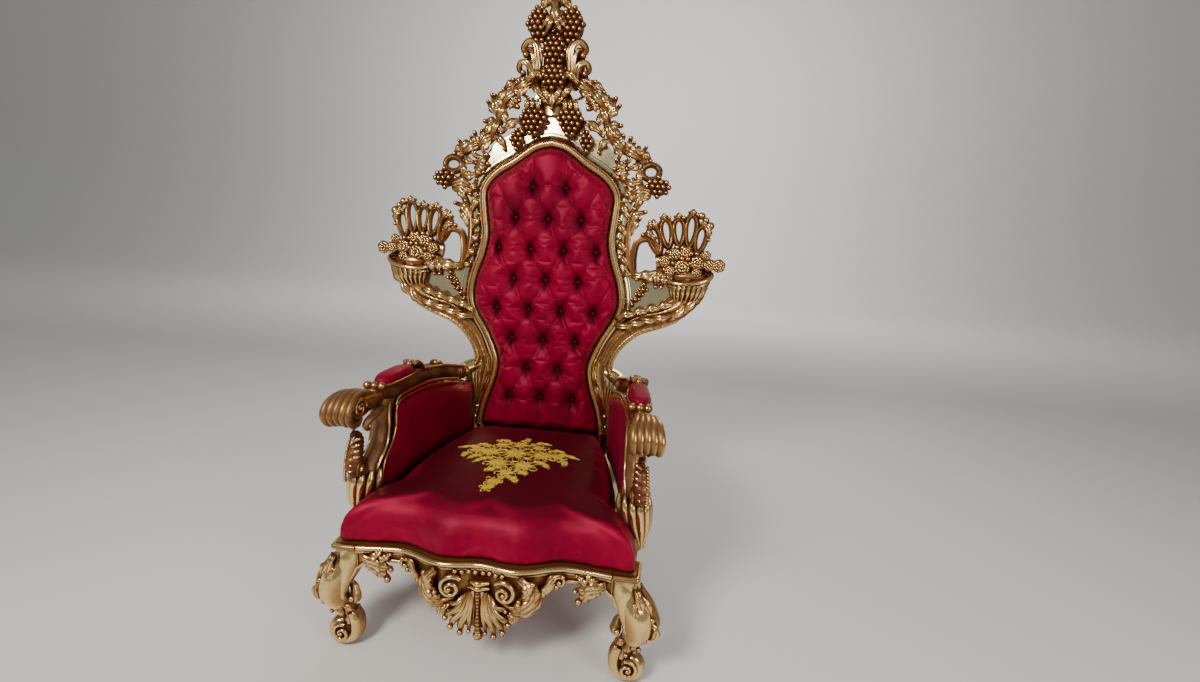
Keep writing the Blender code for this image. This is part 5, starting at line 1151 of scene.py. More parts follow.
def leg_carving():
    carving = Carving(paleness=0.6)
    low = Vector((0.3335, FRONT_CORNER_Y + 0.003, 0.236))
    high = Vector((0.394, FRONT_CORNER_Y + 0.0675, TIMBER_TOP))
    carving.skin(*block_rings(low, high, 4))
    body = [Vector((u, FRONT_CORNER_Y + depth, v)) for u, depth, v in smooth_route(LEG_BODY, 6)]
    stem(carving, body, [0.036, 0.038, 0.040, 0.038, 0.031, 0.023, 0.022, 0.024], facing=(0.5, -0.85, 0),
         sides=28)
    foot = flat_route([(0.362, 0.102), (0.352, 0.072), (0.354, 0.040), (0.374, 0.0205), (0.400, 0.0215),
                       (0.415, 0.042),
                       (0.405, 0.065), (0.385, 0.064), (0.378, 0.048)], 6)
    carving.paleness = 0.45
    stem(carving, [on_leg(u, v, -0.012) for u, v in foot],
         [0.015, 0.0175, 0.0180, 0.0180, 0.0175, 0.016, 0.013, 0.011, 0.009], flat=1.5, sides=18)
    bead(carving, on_leg(0.386, 0.042, -0.014), 0.028, (1, 0.8, 1), fine=4)
    scroll(carving, on_leg, (0.386, 0.043), 0.026, 1.5, 0.0062, 0.010, start=1.9, hand=-1, rise=0.006)
    carving.paleness = 0.75
    shield = [on_leg(u, v, out) for u, v, out in ((0.362, 0.296, -0.012), (0.362, 0.272, -0.006),
              (0.368, 0.240, 0.004), (0.378, 0.200, 0.014), (0.382, 0.165, 0.014), (0.378, 0.132, 0.004))]
    stem(carving, smooth_route(shield, 6), [0.028, 0.029, 0.022, 0.015, 0.0085], flat=0.62, sides=28)
    carving.paleness = 0.35
    inner = [on_leg(u, v, out) for u, v, out in ((0.335, 0.250, 0.000), (0.348, 0.224, 0.004),
             (0.362, 0.200, 0.010), (0.372, 0.165, 0.010), (0.372, 0.130, 0.000))]
    stem(carving, smooth_route(inner, 5), [0.0050, 0.0062, 0.0045], sides=12)
    cup = [on_leg(u, v, out) for u, v, out in ((0.364, 0.192, -0.012), (0.354, 0.172, -0.010),
           (0.350, 0.150, -0.006), (0.352, 0.136, -0.006))]
    stem(carving, smooth_route(cup, 5), [0.006, 0.0125, 0.0165, 0.0120], flat=0.9, sides=20, flutes=5,
         cut=0.18)
    bead(carving, on_leg(0.354, 0.150, 0.008), 0.0085)
    leaves = [
        ([(0.398, 0.276), (0.406, 0.248), (0.420, 0.204)], 0.0110, 0.012, 0.0080),
        ([(0.402, 0.262), (0.424, 0.238), (0.440, 0.196)], 0.0105, 0.004, 0.0070),
        ([(0.392, 0.246), (0.398, 0.220), (0.404, 0.186)], 0.0090, 0.018, 0.0060),
        ([(0.398, 0.184), (0.404, 0.162), (0.424, 0.144)], 0.0095, 0.016, 0.0070),
        ([(0.428, 0.192), (0.450, 0.176), (0.446, 0.150), (0.420, 0.140)], 0.0090, 0.008, 0.0075),
        ([(0.384, 0.130), (0.366, 0.122), (0.352, 0.104)], 0.0085, 0.002, 0.0055),
        ([(0.388, 0.130), (0.398, 0.116), (0.412, 0.106)], 0.0085, 0.004, 0.0055),
        ([(0.386, 0.128), (0.382, 0.110), (0.380, 0.088)], 0.0080, 0.008, 0.0050),
    ]
    for route, width, out, knob in leaves:
        leaf(carving, on_leg, route, width, out=out, lift=0.008, lobes=2, knob=knob, broad=1.25)
    for shift, reach in ((0.010, 0.0), (0.030, -0.004), (0.048, -0.014)):
        side_leaf = [(0.408 + reach, 0.272), (0.440 + reach, 0.214), (0.450 + reach, 0.176),
                     (0.436 + reach, 0.142)]
        stem(carving, [Vector((u, FRONT_CORNER_Y + shift, v)) for u, v in flat_route(side_leaf, 5)],
             [0.005, 0.0115, 0.0125, 0.006], facing=(1, 0, 0), sides=14, flutes=3, cut=0.2)
    joint = [Vector((0.3345, FRONT_CORNER_Y + 0.0015, 0.252)),
             Vector((0.3345, FRONT_CORNER_Y + 0.0015, 0.306))]
    carving.paleness = 0.0
    stem(carving, joint, 0.0016, sides=6)
    carving.paleness = 0.6
    rail_bead = [Vector((0.336, FRONT_CORNER_Y - 0.004, 0.3035)),
                 Vector((0.386, FRONT_CORNER_Y - 0.004, 0.3035)),
                 Vector((0.3965, FRONT_CORNER_Y + 0.004, 0.3035)),
                 Vector((0.3975, FRONT_CORNER_Y + 0.066, 0.3035))]
    stem(carving, smooth_route(rail_bead, 6), 0.0070, facing=(0, 0, 1), sides=14)
    return carving


def mirrored_object(obj, name):
    """A left-hand copy of a right-hand piece."""
    copy = obj.copy()
    copy.data = obj.data.copy()
    copy.name = copy.data.name = name
    bpy.context.scene.collection.objects.link(copy)
    copy.data.transform(Matrix.Diagonal((-1, 1, 1, 1)))
    copy.data.flip_normals()
    return copy


leg_right = leg_carving().finish("front_leg_right", CARVED_GOLD)
leg_left = mirrored_object(leg_right, "front_leg_left")

# %% [markdown]
# An arm starts at the stile, dips, rises to carry a small pad and ends in a rolled hand with five ribs.
# Its support drops in an S to the seat frame, with a scaled snail-like ornament and a fluted leaf below.
# Beads mark the turns of the rail. It is carved like the rest: a heavy stem first, then what lies on it.

# %% Arms
ARM_RAIL = [(-0.300, 0.656), (-0.245, 0.655), (-0.190, 0.650), (-0.130, 0.650), (-0.020, 0.654),
            (0.080, 0.640), (0.170, 0.626), (0.245, 0.607), (0.2585, 0.606)]
ARM_DEPTHS = [0.024, 0.022, 0.028, 0.034, 0.036, 0.031, 0.028, 0.0262, 0.026]
ARM_SUPPORT = [(-0.165, 0.640), (-0.172, 0.600), (-0.174, 0.560), (-0.188, 0.515), (-0.222, 0.475),
               (-0.245, 0.430), (-0.250, 0.370), (-0.250, 0.314)]
PANEL_EDGE = [(-0.208, 0.311), (-0.226, 0.400), (-0.224, 0.436), (-0.208, 0.472), (-0.170, 0.508),
              (-0.147, 0.550), (-0.142, 0.598), (-0.120, 0.619), (-0.040, 0.622), (0.040, 0.620),
              (0.120, 0.606), (0.190, 0.590), (0.240, 0.576), (0.284, 0.568)]
HAND_Y, HAND_Z, HAND_RADIUS, HAND_HALF = -0.300, 0.654, 0.028, 0.032
PANEL_HALF = 0.023


def panel_middle_x(y):
    return side_line_x(y) - PANEL_HALF - 0.002


def arm_carving():
    carving = Carving(paleness=0.30)
    rail = [on_arm(0, y, v) for y, v in flat_route(ARM_RAIL, 6)]
    stem(carving, rail, ARM_DEPTHS, facing=(1, 0, 0), flat=0.90, sides=28, flutes=8, cut=0.07)
    carving.paleness = 0.5
    support = [on_arm(-0.003, y, v) for y, v in flat_route(ARM_SUPPORT, 6)]
    stem(carving, support, [0.038, 0.031, 0.029, 0.029, 0.031, 0.033, 0.033, 0.033], facing=(1, 0, 0),
         flat=0.86, sides=28, flutes=6, cut=0.08)
    for k in range(5):
        wide = (k - 2) / 2
        drape = [(0.30, -0.206, 0.664), (0.42, -0.238, 0.679), (0.72, -0.282, 0.689), (0.98, -0.322, 0.677),
                 (1.06, -0.341, 0.650), (1.02, -0.331, 0.624), (0.92, -0.306, 0.615), (0.85, -0.284, 0.624)]
        rib = [on_arm(HAND_HALF * wide * share, y, v - 0.004 * abs(wide)) for share, y, v in drape]
        stem(carving, smooth_route(rib, 5), [0.0055, 0.0072, 0.0098, 0.0112, 0.0112, 0.0105, 0.0090, 0.0060],
             facing=(1, 0, 0), sides=16)
    ends = HAND_HALF + 0.002
    stem(carving, [on_arm(-ends, HAND_Y, HAND_Z), on_arm(0, HAND_Y, HAND_Z), on_arm(ends, HAND_Y, HAND_Z)],
         HAND_RADIUS + 0.002, facing=(0, 0, 1), sides=28)
    stem(carving, smooth_route([on_arm(0, -0.196, 0.655), on_arm(0, -0.240, 0.660),
                                on_arm(0, -0.290, 0.655)], 5),
         [0.024, 0.022, 0.026], facing=(0, 0, 1), sides=20)
    for side in (-1, 1):
        curl = []
        for t in range(25):
            reach, turn = 0.026 * (1 - 0.8 * t / 24), 0.42 * t
            curl.append(on_arm(side * (HAND_HALF + 0.005), HAND_Y + reach * math.cos(turn),
                               HAND_Z + reach * math.sin(turn)))
        stem(carving, curl, [0.0058, 0.0050, 0.0040], facing=(side, 0, 0), sides=8)
        bead(carving, on_arm(side * (HAND_HALF + 0.006), HAND_Y, HAND_Z), 0.0066, facing=(side, -0.3, 0.2))
        roll = [on_arm(side * 0.020, y, v) for y, v in ((-0.182, 0.622), (-0.214, 0.616), (-0.244, 0.606),
                (-0.262, 0.590), (-0.252, 0.576))]
        stem(carving, smooth_route(roll, 5), [0.008, 0.012, 0.013, 0.010, 0.007], facing=(1, 0, 0), sides=14,
             flutes=4, cut=0.22)
        carving.paleness = 0.55
        for rise, size in ((0.026, 0.0048), (-0.026, 0.0052)):
            edge = [on_arm(side * 0.019, y, v + rise) for y, v in flat_route(ARM_RAIL[3:], 5)]
            stem(carving, edge, size, facing=(side, 0, 0), sides=8)
        sides = [on_arm(side * 0.026 - 0.003, y - 0.006, v) for y, v in flat_route(ARM_SUPPORT, 5)]
        stem(carving, sides, 0.0052, facing=(side, -1, 0), sides=8)
        carving.paleness = 0.30
    carving.paleness = 0.2
    for k in range(3):
        bead(carving, on_arm(-0.021 + 0.021 * k, -0.196, 0.683), 0.0125, facing=(0, -0.6, 0.8), keen=1.6)
    pad_rim = []
    for turn in circle_turns(36):
        y = -0.091 + 0.090 * squarish(math.cos(turn), 0.6)
        pad_rim.append(on_arm(0.0325 * math.sin(turn), y, 0.6775))
    stem(carving, pad_rim, 0.0048, facing=(0, 0, 1), sides=10)
    for k in range(5):
        wide = (k - 2) / 2
        tongue = [on_arm(0.020 * wide, 0.046, 0.664), on_arm(0.022 * wide, 0.026, 0.690),
                  on_arm(0.018 * wide, 0.006, 0.702), on_arm(0.014 * wide, -0.008, 0.696)]
        stem(carving, smooth_route(tongue, 5), [0.006, 0.0085, 0.0085, 0.0055], facing=(0, 0, 1), sides=12)
    bead(carving, on_arm(0.0, -0.006, 0.698), 0.0120, facing=(0, -0.4, 0.9))
    for k in range(5):
        wide = (k - 2) / 2
        petal = [on_arm(0.004 * wide, 0.178, 0.632), on_arm(0.015 * wide, 0.170, 0.650),
                 on_arm(0.013 * wide, 0.160, 0.664), on_arm(0.005 * wide, 0.156, 0.670)]
        stem(carving, smooth_route(petal, 5), [0.006, 0.0085, 0.0075, 0.004], facing=(0, -0.3, 1), sides=12)
    bead(carving, on_arm(0.0, 0.162, 0.660), 0.0130, facing=(0, -0.4, 0.9))
    collar = [on_arm(0, 0.222, 0.613), on_arm(0, 0.240, 0.608)]
    stem(carving, smooth_route(collar, 8), 0.0285, facing=(1, 0, 0), sides=28, ribs=3, rib_cut=0.12)
    snail = flat_route([(-0.236, 0.446), (-0.264, 0.458), (-0.284, 0.484), (-0.280, 0.516), (-0.266, 0.544),
                        (-0.266, 0.562), (-0.280, 0.574), (-0.292, 0.566)], 8)
    stem(carving, [on_arm(-0.002, y, v) for y, v in snail],
         [0.022, 0.027, 0.028, 0.024, 0.016, 0.011, 0.0085, 0.006],
         facing=(1, 0, 0), flat=0.95, sides=28, ribs=14, rib_cut=0.17)
    bead(carving, on_arm(-0.020, -0.286, 0.476), 0.0135, facing=(-0.5, -0.8, 0.3), keen=1.6)
    eye_ring = [on_arm(-0.024, -0.286 + 0.018 * math.cos(a), 0.476 + 0.018 * math.sin(a))
                for a in circle_turns(20)]
    stem(carving, eye_ring, 0.0040, facing=(1, 0, 0), sides=8)
    for k in range(15):
        t = k / 14
        y = -0.290 - 0.020 * math.sin(math.pi * (0.25 + 0.6 * t)) + 0.022 * t
        bead(carving, on_arm(0.013, y, 0.446 + 0.106 * t), 0.0048, fine=2, facing=(0, -1, 0.2))
    for k in range(6):
        v = 0.470 + 0.016 * k
        scale = [on_arm(-0.022 + 0.001 * k, -0.268, v), on_arm(-0.018, -0.298 + 0.003 * k, v + 0.010),
                 on_arm(-0.004, -0.310 + 0.004 * k, v + 0.004)]
        stem(carving, smooth_route(scale, 5), [0.003, 0.0052, 0.0035], facing=(0, -1, 0), sides=8)
    carving.paleness = 0.45
    for k in range(6):
        lean = -1.25 + 0.5 * k
        top = on_arm(-0.010 + 0.040 * math.sin(lean), -0.238 - 0.040 * math.cos(lean), 0.462)
        high = on_arm(-0.010 + 0.041 * math.sin(lean), -0.242 - 0.046 * math.cos(lean), 0.432)
        middle = on_arm(-0.004 + 0.034 * math.sin(lean), -0.248 - 0.038 * math.cos(lean), 0.385)
        tip = on_arm(0.010 + 0.008 * math.sin(lean), -0.256 - 0.014 * math.cos(lean), 0.326)
        stem(carving, smooth_route([top, high, middle, tip], 6), [0.0060, 0.0108, 0.0100, 0.0045],
             facing=(0, -1, 0), sides=14)
    carving.paleness = 0.6
    for hand in (-1, 1):
        rim = [Vector((panel_middle_x(y) + hand * (PANEL_HALF + 0.004), y, v))
               for y, v in flat_route(PANEL_EDGE[:-2], 5)]
        stem(carving, rim, 0.0042, facing=(hand, 0, 0), sides=8)
        outer = [Vector((panel_middle_x(y) + hand * (PANEL_HALF + 0.002), y, v + 0.012))
                 for y, v in flat_route(PANEL_EDGE[6:-2], 5)]
        stem(carving, outer, 0.0050, facing=(hand, 0, 0), sides=8)
    return carving


arm_right = arm_carving().finish("arm_right_carved", CARVED_GOLD)
arm_left = mirrored_object(arm_right, "arm_left_carved")

# %% [markdown]
# The side and back rails are plain timber with a bead along the top, because a carver spends no time where
# nobody looks. Each is one profile swept along the seat's bowed side or straight across the back.

# %% Plain rails
def rail_object(name, path, thickness, inward):
    carving = Carving(paleness=0.6)
    profile = [(0, 0.239, 0.4), (0, 0.246, 0.8), (0, 0.292, 0.7), (0.003, 0.295, 0.2), (-0.001, 0.299, 0.8),
               (-0.0005, 0.306, 1.0), (0.003, TIMBER_TOP, 0.7), (thickness, TIMBER_TOP, 0.3),
               (thickness, 0.239, 0.2)]
    rings = [[Vector((p.x + inward[0] * a, p.y + inward[1] * a, z)) for a, z, _ in profile] for p in path]
    carving.skin(rings, [[c for _, _, c in profile]] * len(path))
    return carving.finish(name, FRAME_GOLD, sharp=35)


side_path = []
for k in range(25):
    y = FRONT_CORNER_Y + 0.0683 + (BACK_FACE_Y - FRONT_CORNER_Y - 0.0686) * k / 24
    side_path.append(Vector((side_line_x(y) - 0.0005, y, 0)))
rail_right = rail_object("side_rail_right", side_path, 0.0335, (-1, 0))
rail_left = mirrored_object(rail_right, "side_rail_left")
back_path = [Vector((x, BACK_FACE_Y + 0.0315, 0)) for x in (-0.2175, -0.1, 0.0, 0.1, 0.2175)]
rail_back = rail_object("back_rail", back_path, 0.029, (0, -1))

# %% [markdown]
# The velvet is crimson with a silky pile: it goes from near black to bright rose with the light's angle.
# A second shared group gives the cloth its fine weave, slow shifts of colour and brushed streaks, and paints
# shade into it: ambient occlusion darkens folds, and a painted-shade value on the points darkens the back's
# tufts, the buttons and the seat's top.
# Sheen, specular tint and the rest stay plain numbers on the shader.

# %% Cloth group and materials
def cloth_group():
    tree = bpy.data.node_groups.new("Brushed pile and painted shade", "ShaderNodeTree")
    colour, number = "NodeSocketColor", "NodeSocketFloat"
    into, out_of = group_sockets(tree, [
        ("Light pile", colour, (0.5, 0.02, 0.06, 1)), ("Deep pile and painted shade", colour, (0.2, 0.005, 0.02, 1)),
        ("Base roughness", number, 0.4)],
        [("Colour", colour), ("Roughness", number), ("Height", number)])
    broad = noise(tree, 5, 3)
    brushed = noise(tree, 34, 5, 0.6, stretch=(1.0, 1.0, 0.6))
    weave = noise(tree, 900, 2, 0.5)
    # Ambient occlusion: painted shade in folds and seams.
    free_of_painted_shade = openness(tree, 0.040, 0.25, 0.85)
    nap = maths(tree, "ADD", maths(tree, "MULTIPLY", broad, 0.7), maths(tree, "MULTIPLY", brushed, 0.3))
    nap = stretch_range(tree, nap, 0.30, 0.70)
    # The point value is painted shade: tuft stars, creases, buttons and the seat's top turn to the deep
    # colour.
    free_of_point_shade = maths(tree, "SUBTRACT", 1.0, attribute(tree, "painted_shade"), clamped=True)
    free_of_painted_shade = maths(tree, "MULTIPLY", free_of_painted_shade, free_of_point_shade)
    share = maths(tree, "MULTIPLY", maths(tree, "ADD", maths(tree, "MULTIPLY", nap, 0.60), 0.40), free_of_painted_shade,
                  clamped=True)
    tree.links.new(blend_colour(tree, share, into.outputs["Deep pile and painted shade"], into.outputs["Light pile"]),
                   out_of.inputs["Colour"])
    rough = maths(tree, "ADD", into.outputs["Base roughness"], maths(tree, "MULTIPLY", brushed, 0.14))
    tree.links.new(rough, out_of.inputs["Roughness"])
    height = maths(tree, "ADD", maths(tree, "MULTIPLY", weave, 0.35), maths(tree, "MULTIPLY", brushed, 0.65))
    tree.links.new(height, out_of.inputs["Height"])
    return tree


PILE_AND_PAINTED_SHADE = cloth_group()


def cloth_material(name, light, deep, roughness, sheen, sheen_tint, bump):
    made, tree, shader = new_material(name)
    pile = placed_group(tree, PILE_AND_PAINTED_SHADE, {"Light pile": light, "Deep pile and painted shade": deep,
                                             "Base roughness": roughness})
    tree.links.new(pile["Colour"], shader.inputs["Base Color"])
    tree.links.new(pile["Roughness"], shader.inputs["Roughness"])
    relief_on(tree, shader, pile["Height"], bump, 0.0008)
    shader.inputs["Sheen Weight"].default_value = sheen
    shader.inputs["Sheen Roughness"].default_value = 0.35
    shader.inputs["Sheen Tint"].default_value = (*sheen_tint, 1)
    shader.inputs["Specular IOR Level"].default_value = 0.72
    shader.inputs["Specular Tint"].default_value = (1.0, 0.10, 0.22, 1)
    return made


# The deep colour is also the colour that painted shade gives the velvet.
CRIMSON = cloth_material("crimson_velvet_cloth", (0.265, 0.0020, 0.0230), (0.010, 0.0003, 0.0010),
                         0.40, 0.16,
                         (1.0, 0.06, 0.20), 0.35)
print("cloth material", CRIMSON.name)

# %% [markdown]
# A stuffed piece gets its shape from pressure inside a skin that can't stretch much. Blender's cloth can
# do just that: the mesh swells for a few frames, points that the upholsterer nails or ties down are pinned,
# and no point may travel further than a cap, so that the pad stays in its own room. The result is kept
# and the simulation is taken off, so what is left is a plain mesh.

# %% Stuffing by cloth simulation
def stuffed(obj, pressure, frames=16, cap=0.010, pins=None, slack=0.0, bend=0.6):
    """Inflates a mesh with cloth simulation, keeps the result and caps how far it moved."""
    start = np.empty(len(obj.data.vertices) * 3)
    obj.data.vertices.foreach_get("co", start)
    cloth = obj.modifiers.new("stuffing", "CLOTH")
    settings = cloth.settings
    settings.quality = 5
    settings.mass = 0.25
    settings.tension_stiffness = settings.compression_stiffness = 18
    settings.shear_stiffness = 8
    settings.bending_stiffness = bend
    settings.use_pressure = True
    settings.uniform_pressure_force = pressure
    settings.shrink_min = -slack
    settings.effector_weights.gravity = 0.0
    if pins:
        group = obj.vertex_groups.new(name="tied")
        group.add(pins, 1.0, "REPLACE")
        settings.vertex_group_mass = "tied"
    cloth.point_cache.frame_start, cloth.point_cache.frame_end = 1, frames
    scene = bpy.context.scene
    for number in range(1, frames + 1):
        scene.frame_set(number)
    graph = bpy.context.evaluated_depsgraph_get()
    moved = obj.evaluated_get(graph).to_mesh()
    end = np.empty(len(moved.vertices) * 3)
    moved.vertices.foreach_get("co", end)
    obj.modifiers.clear()
    step = (end - start).reshape(-1, 3)
    length = np.linalg.norm(step, axis=1, keepdims=True)
    step *= np.minimum(1.0, cap / np.maximum(length, 1e-9))
    obj.data.vertices.foreach_set("co", (start.reshape(-1, 3) + step).ravel())
    obj.data.update()
    scene.frame_set(1)
    print(obj.name, "moved at most", round(float(length.max()), 4), "kept to", cap)


def apply_modifiers(obj):
    graph = bpy.context.evaluated_depsgraph_get()
    fresh = bpy.data.meshes.new_from_object(obj.evaluated_get(graph))
    old = obj.data
    obj.modifiers.clear()
    obj.data = fresh
    bpy.data.meshes.remove(old)
    fresh.polygons.foreach_set("use_smooth", [True] * len(fresh.polygons))


def voxel_skin(obj, size):
    """A fresh even skin over a closed form, which the cloth can bend everywhere alike."""
    remesh = obj.modifiers.new("even skin", "REMESH")
    remesh.mode = "VOXEL"
    remesh.voxel_size = size
    apply_modifiers(obj)


def subdivided(obj):
    smooth = obj.modifiers.new("finer", "SUBSURF")
    smooth.levels = smooth.render_levels = 1
    apply_modifiers(obj)
    print(obj.name, "points", len(obj.data.vertices))


# %% [markdown]
# The back pad is deep buttoned: cords pull the velvet down at each button, and spare cloth folds into
# pleats that run from button to button in diamonds and from the edge buttons to the frame.
# The drawing below gives the first form as a height over the back's plane. Cloth simulation with tied
# buttons and border then lets the diamonds swell and the spare cloth crease.

# %% Back pad form
TUFT_TOP, TUFT_ROW, TUFT_COLUMN = 1.265, 0.106, 0.1155
PAD_LOW, PAD_STEP, PAD_RIM, PAD_REAR = 0.412, 0.0052, 0.005, -0.023
BUTTONS = []
pad_edge = opening_route()[::-1]
for row in range(8):
    for k in range(-2, 3):
        u, v = (k + 0.5 * ((row + 1) % 2)) * TUFT_COLUMN, TUFT_TOP - row * TUFT_ROW
        reach = float(np.interp(v, [p.y for p in pad_edge], [p.x for p in pad_edge]))
        if abs(u) < reach - 0.044:
            BUTTONS.append((u, v))
print("buttons", len(BUTTONS))


def pad_ring():
    half = [p for p in opening_route(-0.002, per=6) if p.y > PAD_LOW + 0.004]
    half.append(Vector((half[-1].x, PAD_LOW, 0)))
    low = [Vector((half[-1].x * (1 - 2 * k / 60), PAD_LOW, 0)) for k in range(1, 60)]
    ring = half + low + [Vector((-p.x, p.y, 0)) for p in reversed(half[1:])]
    return np.array([(p.x, p.y) for p in ring])


def distance_to_ring(ring, points):
    """The distance from flat points to a closed outline, and whether they lie inside it."""
    best = np.full(len(points), 1e9)
    inside = np.zeros(len(points), bool)
    for a, b in zip(ring, np.roll(ring, -1, axis=0)):
        edge = b - a
        t = np.clip(((points - a) @ edge) / max(1e-12, edge @ edge), 0, 1)
        best = np.minimum(best, np.linalg.norm(points - (a + t[:, None] * edge), axis=1))
        crosses = (a[1] > points[:, 1]) != (b[1] > points[:, 1])
        if abs(edge[1]) > 1e-12:
            crosses &= points[:, 0] < a[0] + edge[0] * (points[:, 1] - a[1]) / edge[1]
            inside ^= crosses
    return best, inside


def pad_height(u, v, reach):
    """The buttoned face's height over the back's plane."""
    roll = np.clip(reach / 0.040, 0, 1)
    puff = 0.006 + 0.024 * np.sin(np.pi / 2 * roll)
    s, t = u / (TUFT_COLUMN / 2) + 1, (TUFT_TOP - v) / TUFT_ROW
    one, two = np.abs(np.sin(np.pi * (s + t) / 2)), np.abs(np.sin(np.pi * (s - t) / 2))
    swell = (one * two) ** 0.36
    above = np.abs(np.sin(np.pi * s / 2)) ** 0.5
    below = np.abs(np.sin(np.pi * (s + 7) / 2)) ** 0.5
    swell = np.where(v > TUFT_TOP, above, np.where(t > 7, below, swell))
    near = np.full(len(u), 1.0)
    pit = np.zeros(len(u))
    for a, b in BUTTONS:
        near = np.minimum(near, np.hypot(u - a, v - b) / (0.47 * TUFT_COLUMN))
        pit = np.maximum(pit, np.exp(-((u - a) / 0.0125) ** 2 - ((v - b) / 0.0190) ** 2))
    dip = 0.42 * swell + 0.58 * np.sin(np.pi / 2 * near) ** 0.8
    return puff - roll * (0.026 * (1 - dip) + 0.009 * pit)


def star_shade(x, z):
    """How much painted shade a tuft's star gets: an upright oval with ragged points, drawn round each button.
    """
    deep = np.zeros(len(x))
    for a, b in BUTTONS:
        du, dv = x - a, z - b
        turn = np.arctan2(dv, du)
        ragged = 1 + 0.26 * np.cos(4 * turn) + 0.18 * np.cos(7 * turn + 60 * a)
        ragged += 0.12 * np.sin(11 * turn + 40 * b)
        far = np.hypot(du / 0.0165, dv / 0.0280) / ragged
        deep = np.maximum(deep, np.exp(-far ** 3.0))
    s, t = x / (TUFT_COLUMN / 2) + 1, (TUFT_TOP - z) / TUFT_ROW
    crease = np.minimum(np.abs(np.sin(np.pi * (s + t) / 2)), np.abs(np.sin(np.pi * (s - t) / 2)))
    inside = (z < TUFT_TOP) & (t < 7)
    # A fainter line of painted shade along the diagonal creases.
    deep = np.maximum(deep, np.where(inside, 0.55 * np.exp(-(crease / 0.05) ** 2), 0))
    return np.clip(deep * 1.05, 0, 0.97)


def pad_grid(ring):
    """An even net of flat points inside the outline, how far each lies from it, and the net's quads."""
    across = np.arange(-0.275, 0.2751, PAD_STEP)
    up = np.arange(PAD_LOW - PAD_STEP, 1.410, PAD_STEP)
    grid_u, grid_v = np.meshgrid(across, up)
    flat = np.stack([grid_u.ravel(), grid_v.ravel()], axis=1)
    reach, inside = distance_to_ring(ring, flat)
    keep = inside & (reach > PAD_STEP * 0.45)
    number = np.full(len(flat), -1)
    number[keep] = np.arange(keep.sum())
    number = number.reshape(grid_u.shape)
    quads = []
    for r in range(number.shape[0] - 1):
        for c in range(number.shape[1] - 1):
            quad = (number[r, c], number[r, c + 1], number[r + 1, c + 1], number[r + 1, c])
            if min(quad) >= 0:
                quads.append(tuple(int(i) for i in quad))
    return flat[keep], reach[keep], quads


def nearest_on_ring(ring, p):
    """The outline's point that lies nearest to a flat point."""
    best, spot = 1e9, p
    for a, b in zip(ring, np.roll(ring, -1, axis=0)):
        edge = b - a
        t = min(1.0, max(0.0, float((p - a) @ edge) / max(1e-12, float(edge @ edge))))
        q = a + t * edge
        far = float(np.hypot(*(p - q)))
        if far < best:
            best, spot = far, q
    return spot


def close_back(obj):
    """Closes the pad's open rear with one flat face, now that the cloth has settled."""
    bm = bmesh.new()
    bm.from_mesh(obj.data)
    bmesh.ops.holes_fill(bm, edges=[e for e in bm.edges if len(e.link_faces) == 1], sides=0)
    bmesh.ops.recalc_face_normals(bm, faces=bm.faces)
    bm.to_mesh(obj.data)
    bm.free()


def make_back_pad():
    ring = pad_ring()
    flat, reach, quads = pad_grid(ring)
    height = pad_height(flat[:, 0], flat[:, 1], reach)
    bm = bmesh.new()
    verts = [bm.verts.new(on_back(u, v, h)) for (u, v), h in zip(flat, height)]
    for quad in quads:
        bm.faces.new([verts[i] for i in quad])
    loose = [v for v in bm.verts if not v.link_faces]
    bmesh.ops.delete(bm, geom=loose, context="VERTS")
    rim = [e for e in bm.edges if len(e.link_faces) == 1]
    for vert in {v for e in rim for v in e.verts}:
        spot = nearest_on_ring(ring, np.array((vert.co.x, vert.co.z)))
        vert.co = on_back(spot[0], spot[1], PAD_RIM)
    bm.verts.index_update()
    side = bmesh.ops.extrude_edge_only(bm, edges=rim)["geom"]
    back = [g for g in side if isinstance(g, bmesh.types.BMVert)]
    for vert in back:
        vert.co = on_back(vert.co.x, vert.co.z, PAD_REAR)
    bm.verts.index_update()
    behind = {v.index for v in back}
    bmesh.ops.recalc_face_normals(bm, faces=bm.faces)
    pins = []
    for vert in bm.verts:
        u, v = vert.co.x, vert.co.z
        edge_point = vert.index in behind or any(e.other_vert(vert).index in behind for e in vert.link_edges)
        if edge_point or min(math.hypot(u - a, v - b) for a, b in BUTTONS) < 0.0075:
            pins.append(vert.index)
    bmesh.ops.translate(bm, verts=bm.verts, vec=(0, SHIFT, 0))
    mesh = bpy.data.meshes.new("back_pad")
    bm.to_mesh(mesh)
    bm.free()
    mesh.materials.append(CRIMSON)
    obj = bpy.data.objects.new("back_pad", mesh)
    bpy.context.scene.collection.objects.link(obj)
    print("back pad points", len(mesh.vertices), "tied", len(pins))
    stuffed(obj, 3.0, frames=18, cap=0.009, pins=pins, slack=0.05, bend=0.15)
    subdivided(obj)
    close_back(obj)
    place = np.empty(len(obj.data.vertices) * 3)
    obj.data.vertices.foreach_get("co", place)
    place = place.reshape(-1, 3)
    # The dark stars round the buttons and the crease lines are painted shade.
    point_values(obj, "painted_shade", star_shade(place[:, 0], place[:, 2]))
    return obj


back_cushion = make_back_pad()

# %% [markdown]
# The seat pad is a thick crowned cushion with a rolled edge that fills the seat frame to its corners.
# It starts a little smaller than its room, gets an even skin, and pressure rounds it out. Its top is
# painted dark as shade, while the front roll stays bright: the same painted-shade value that darkens the
# tufts of the back says where.

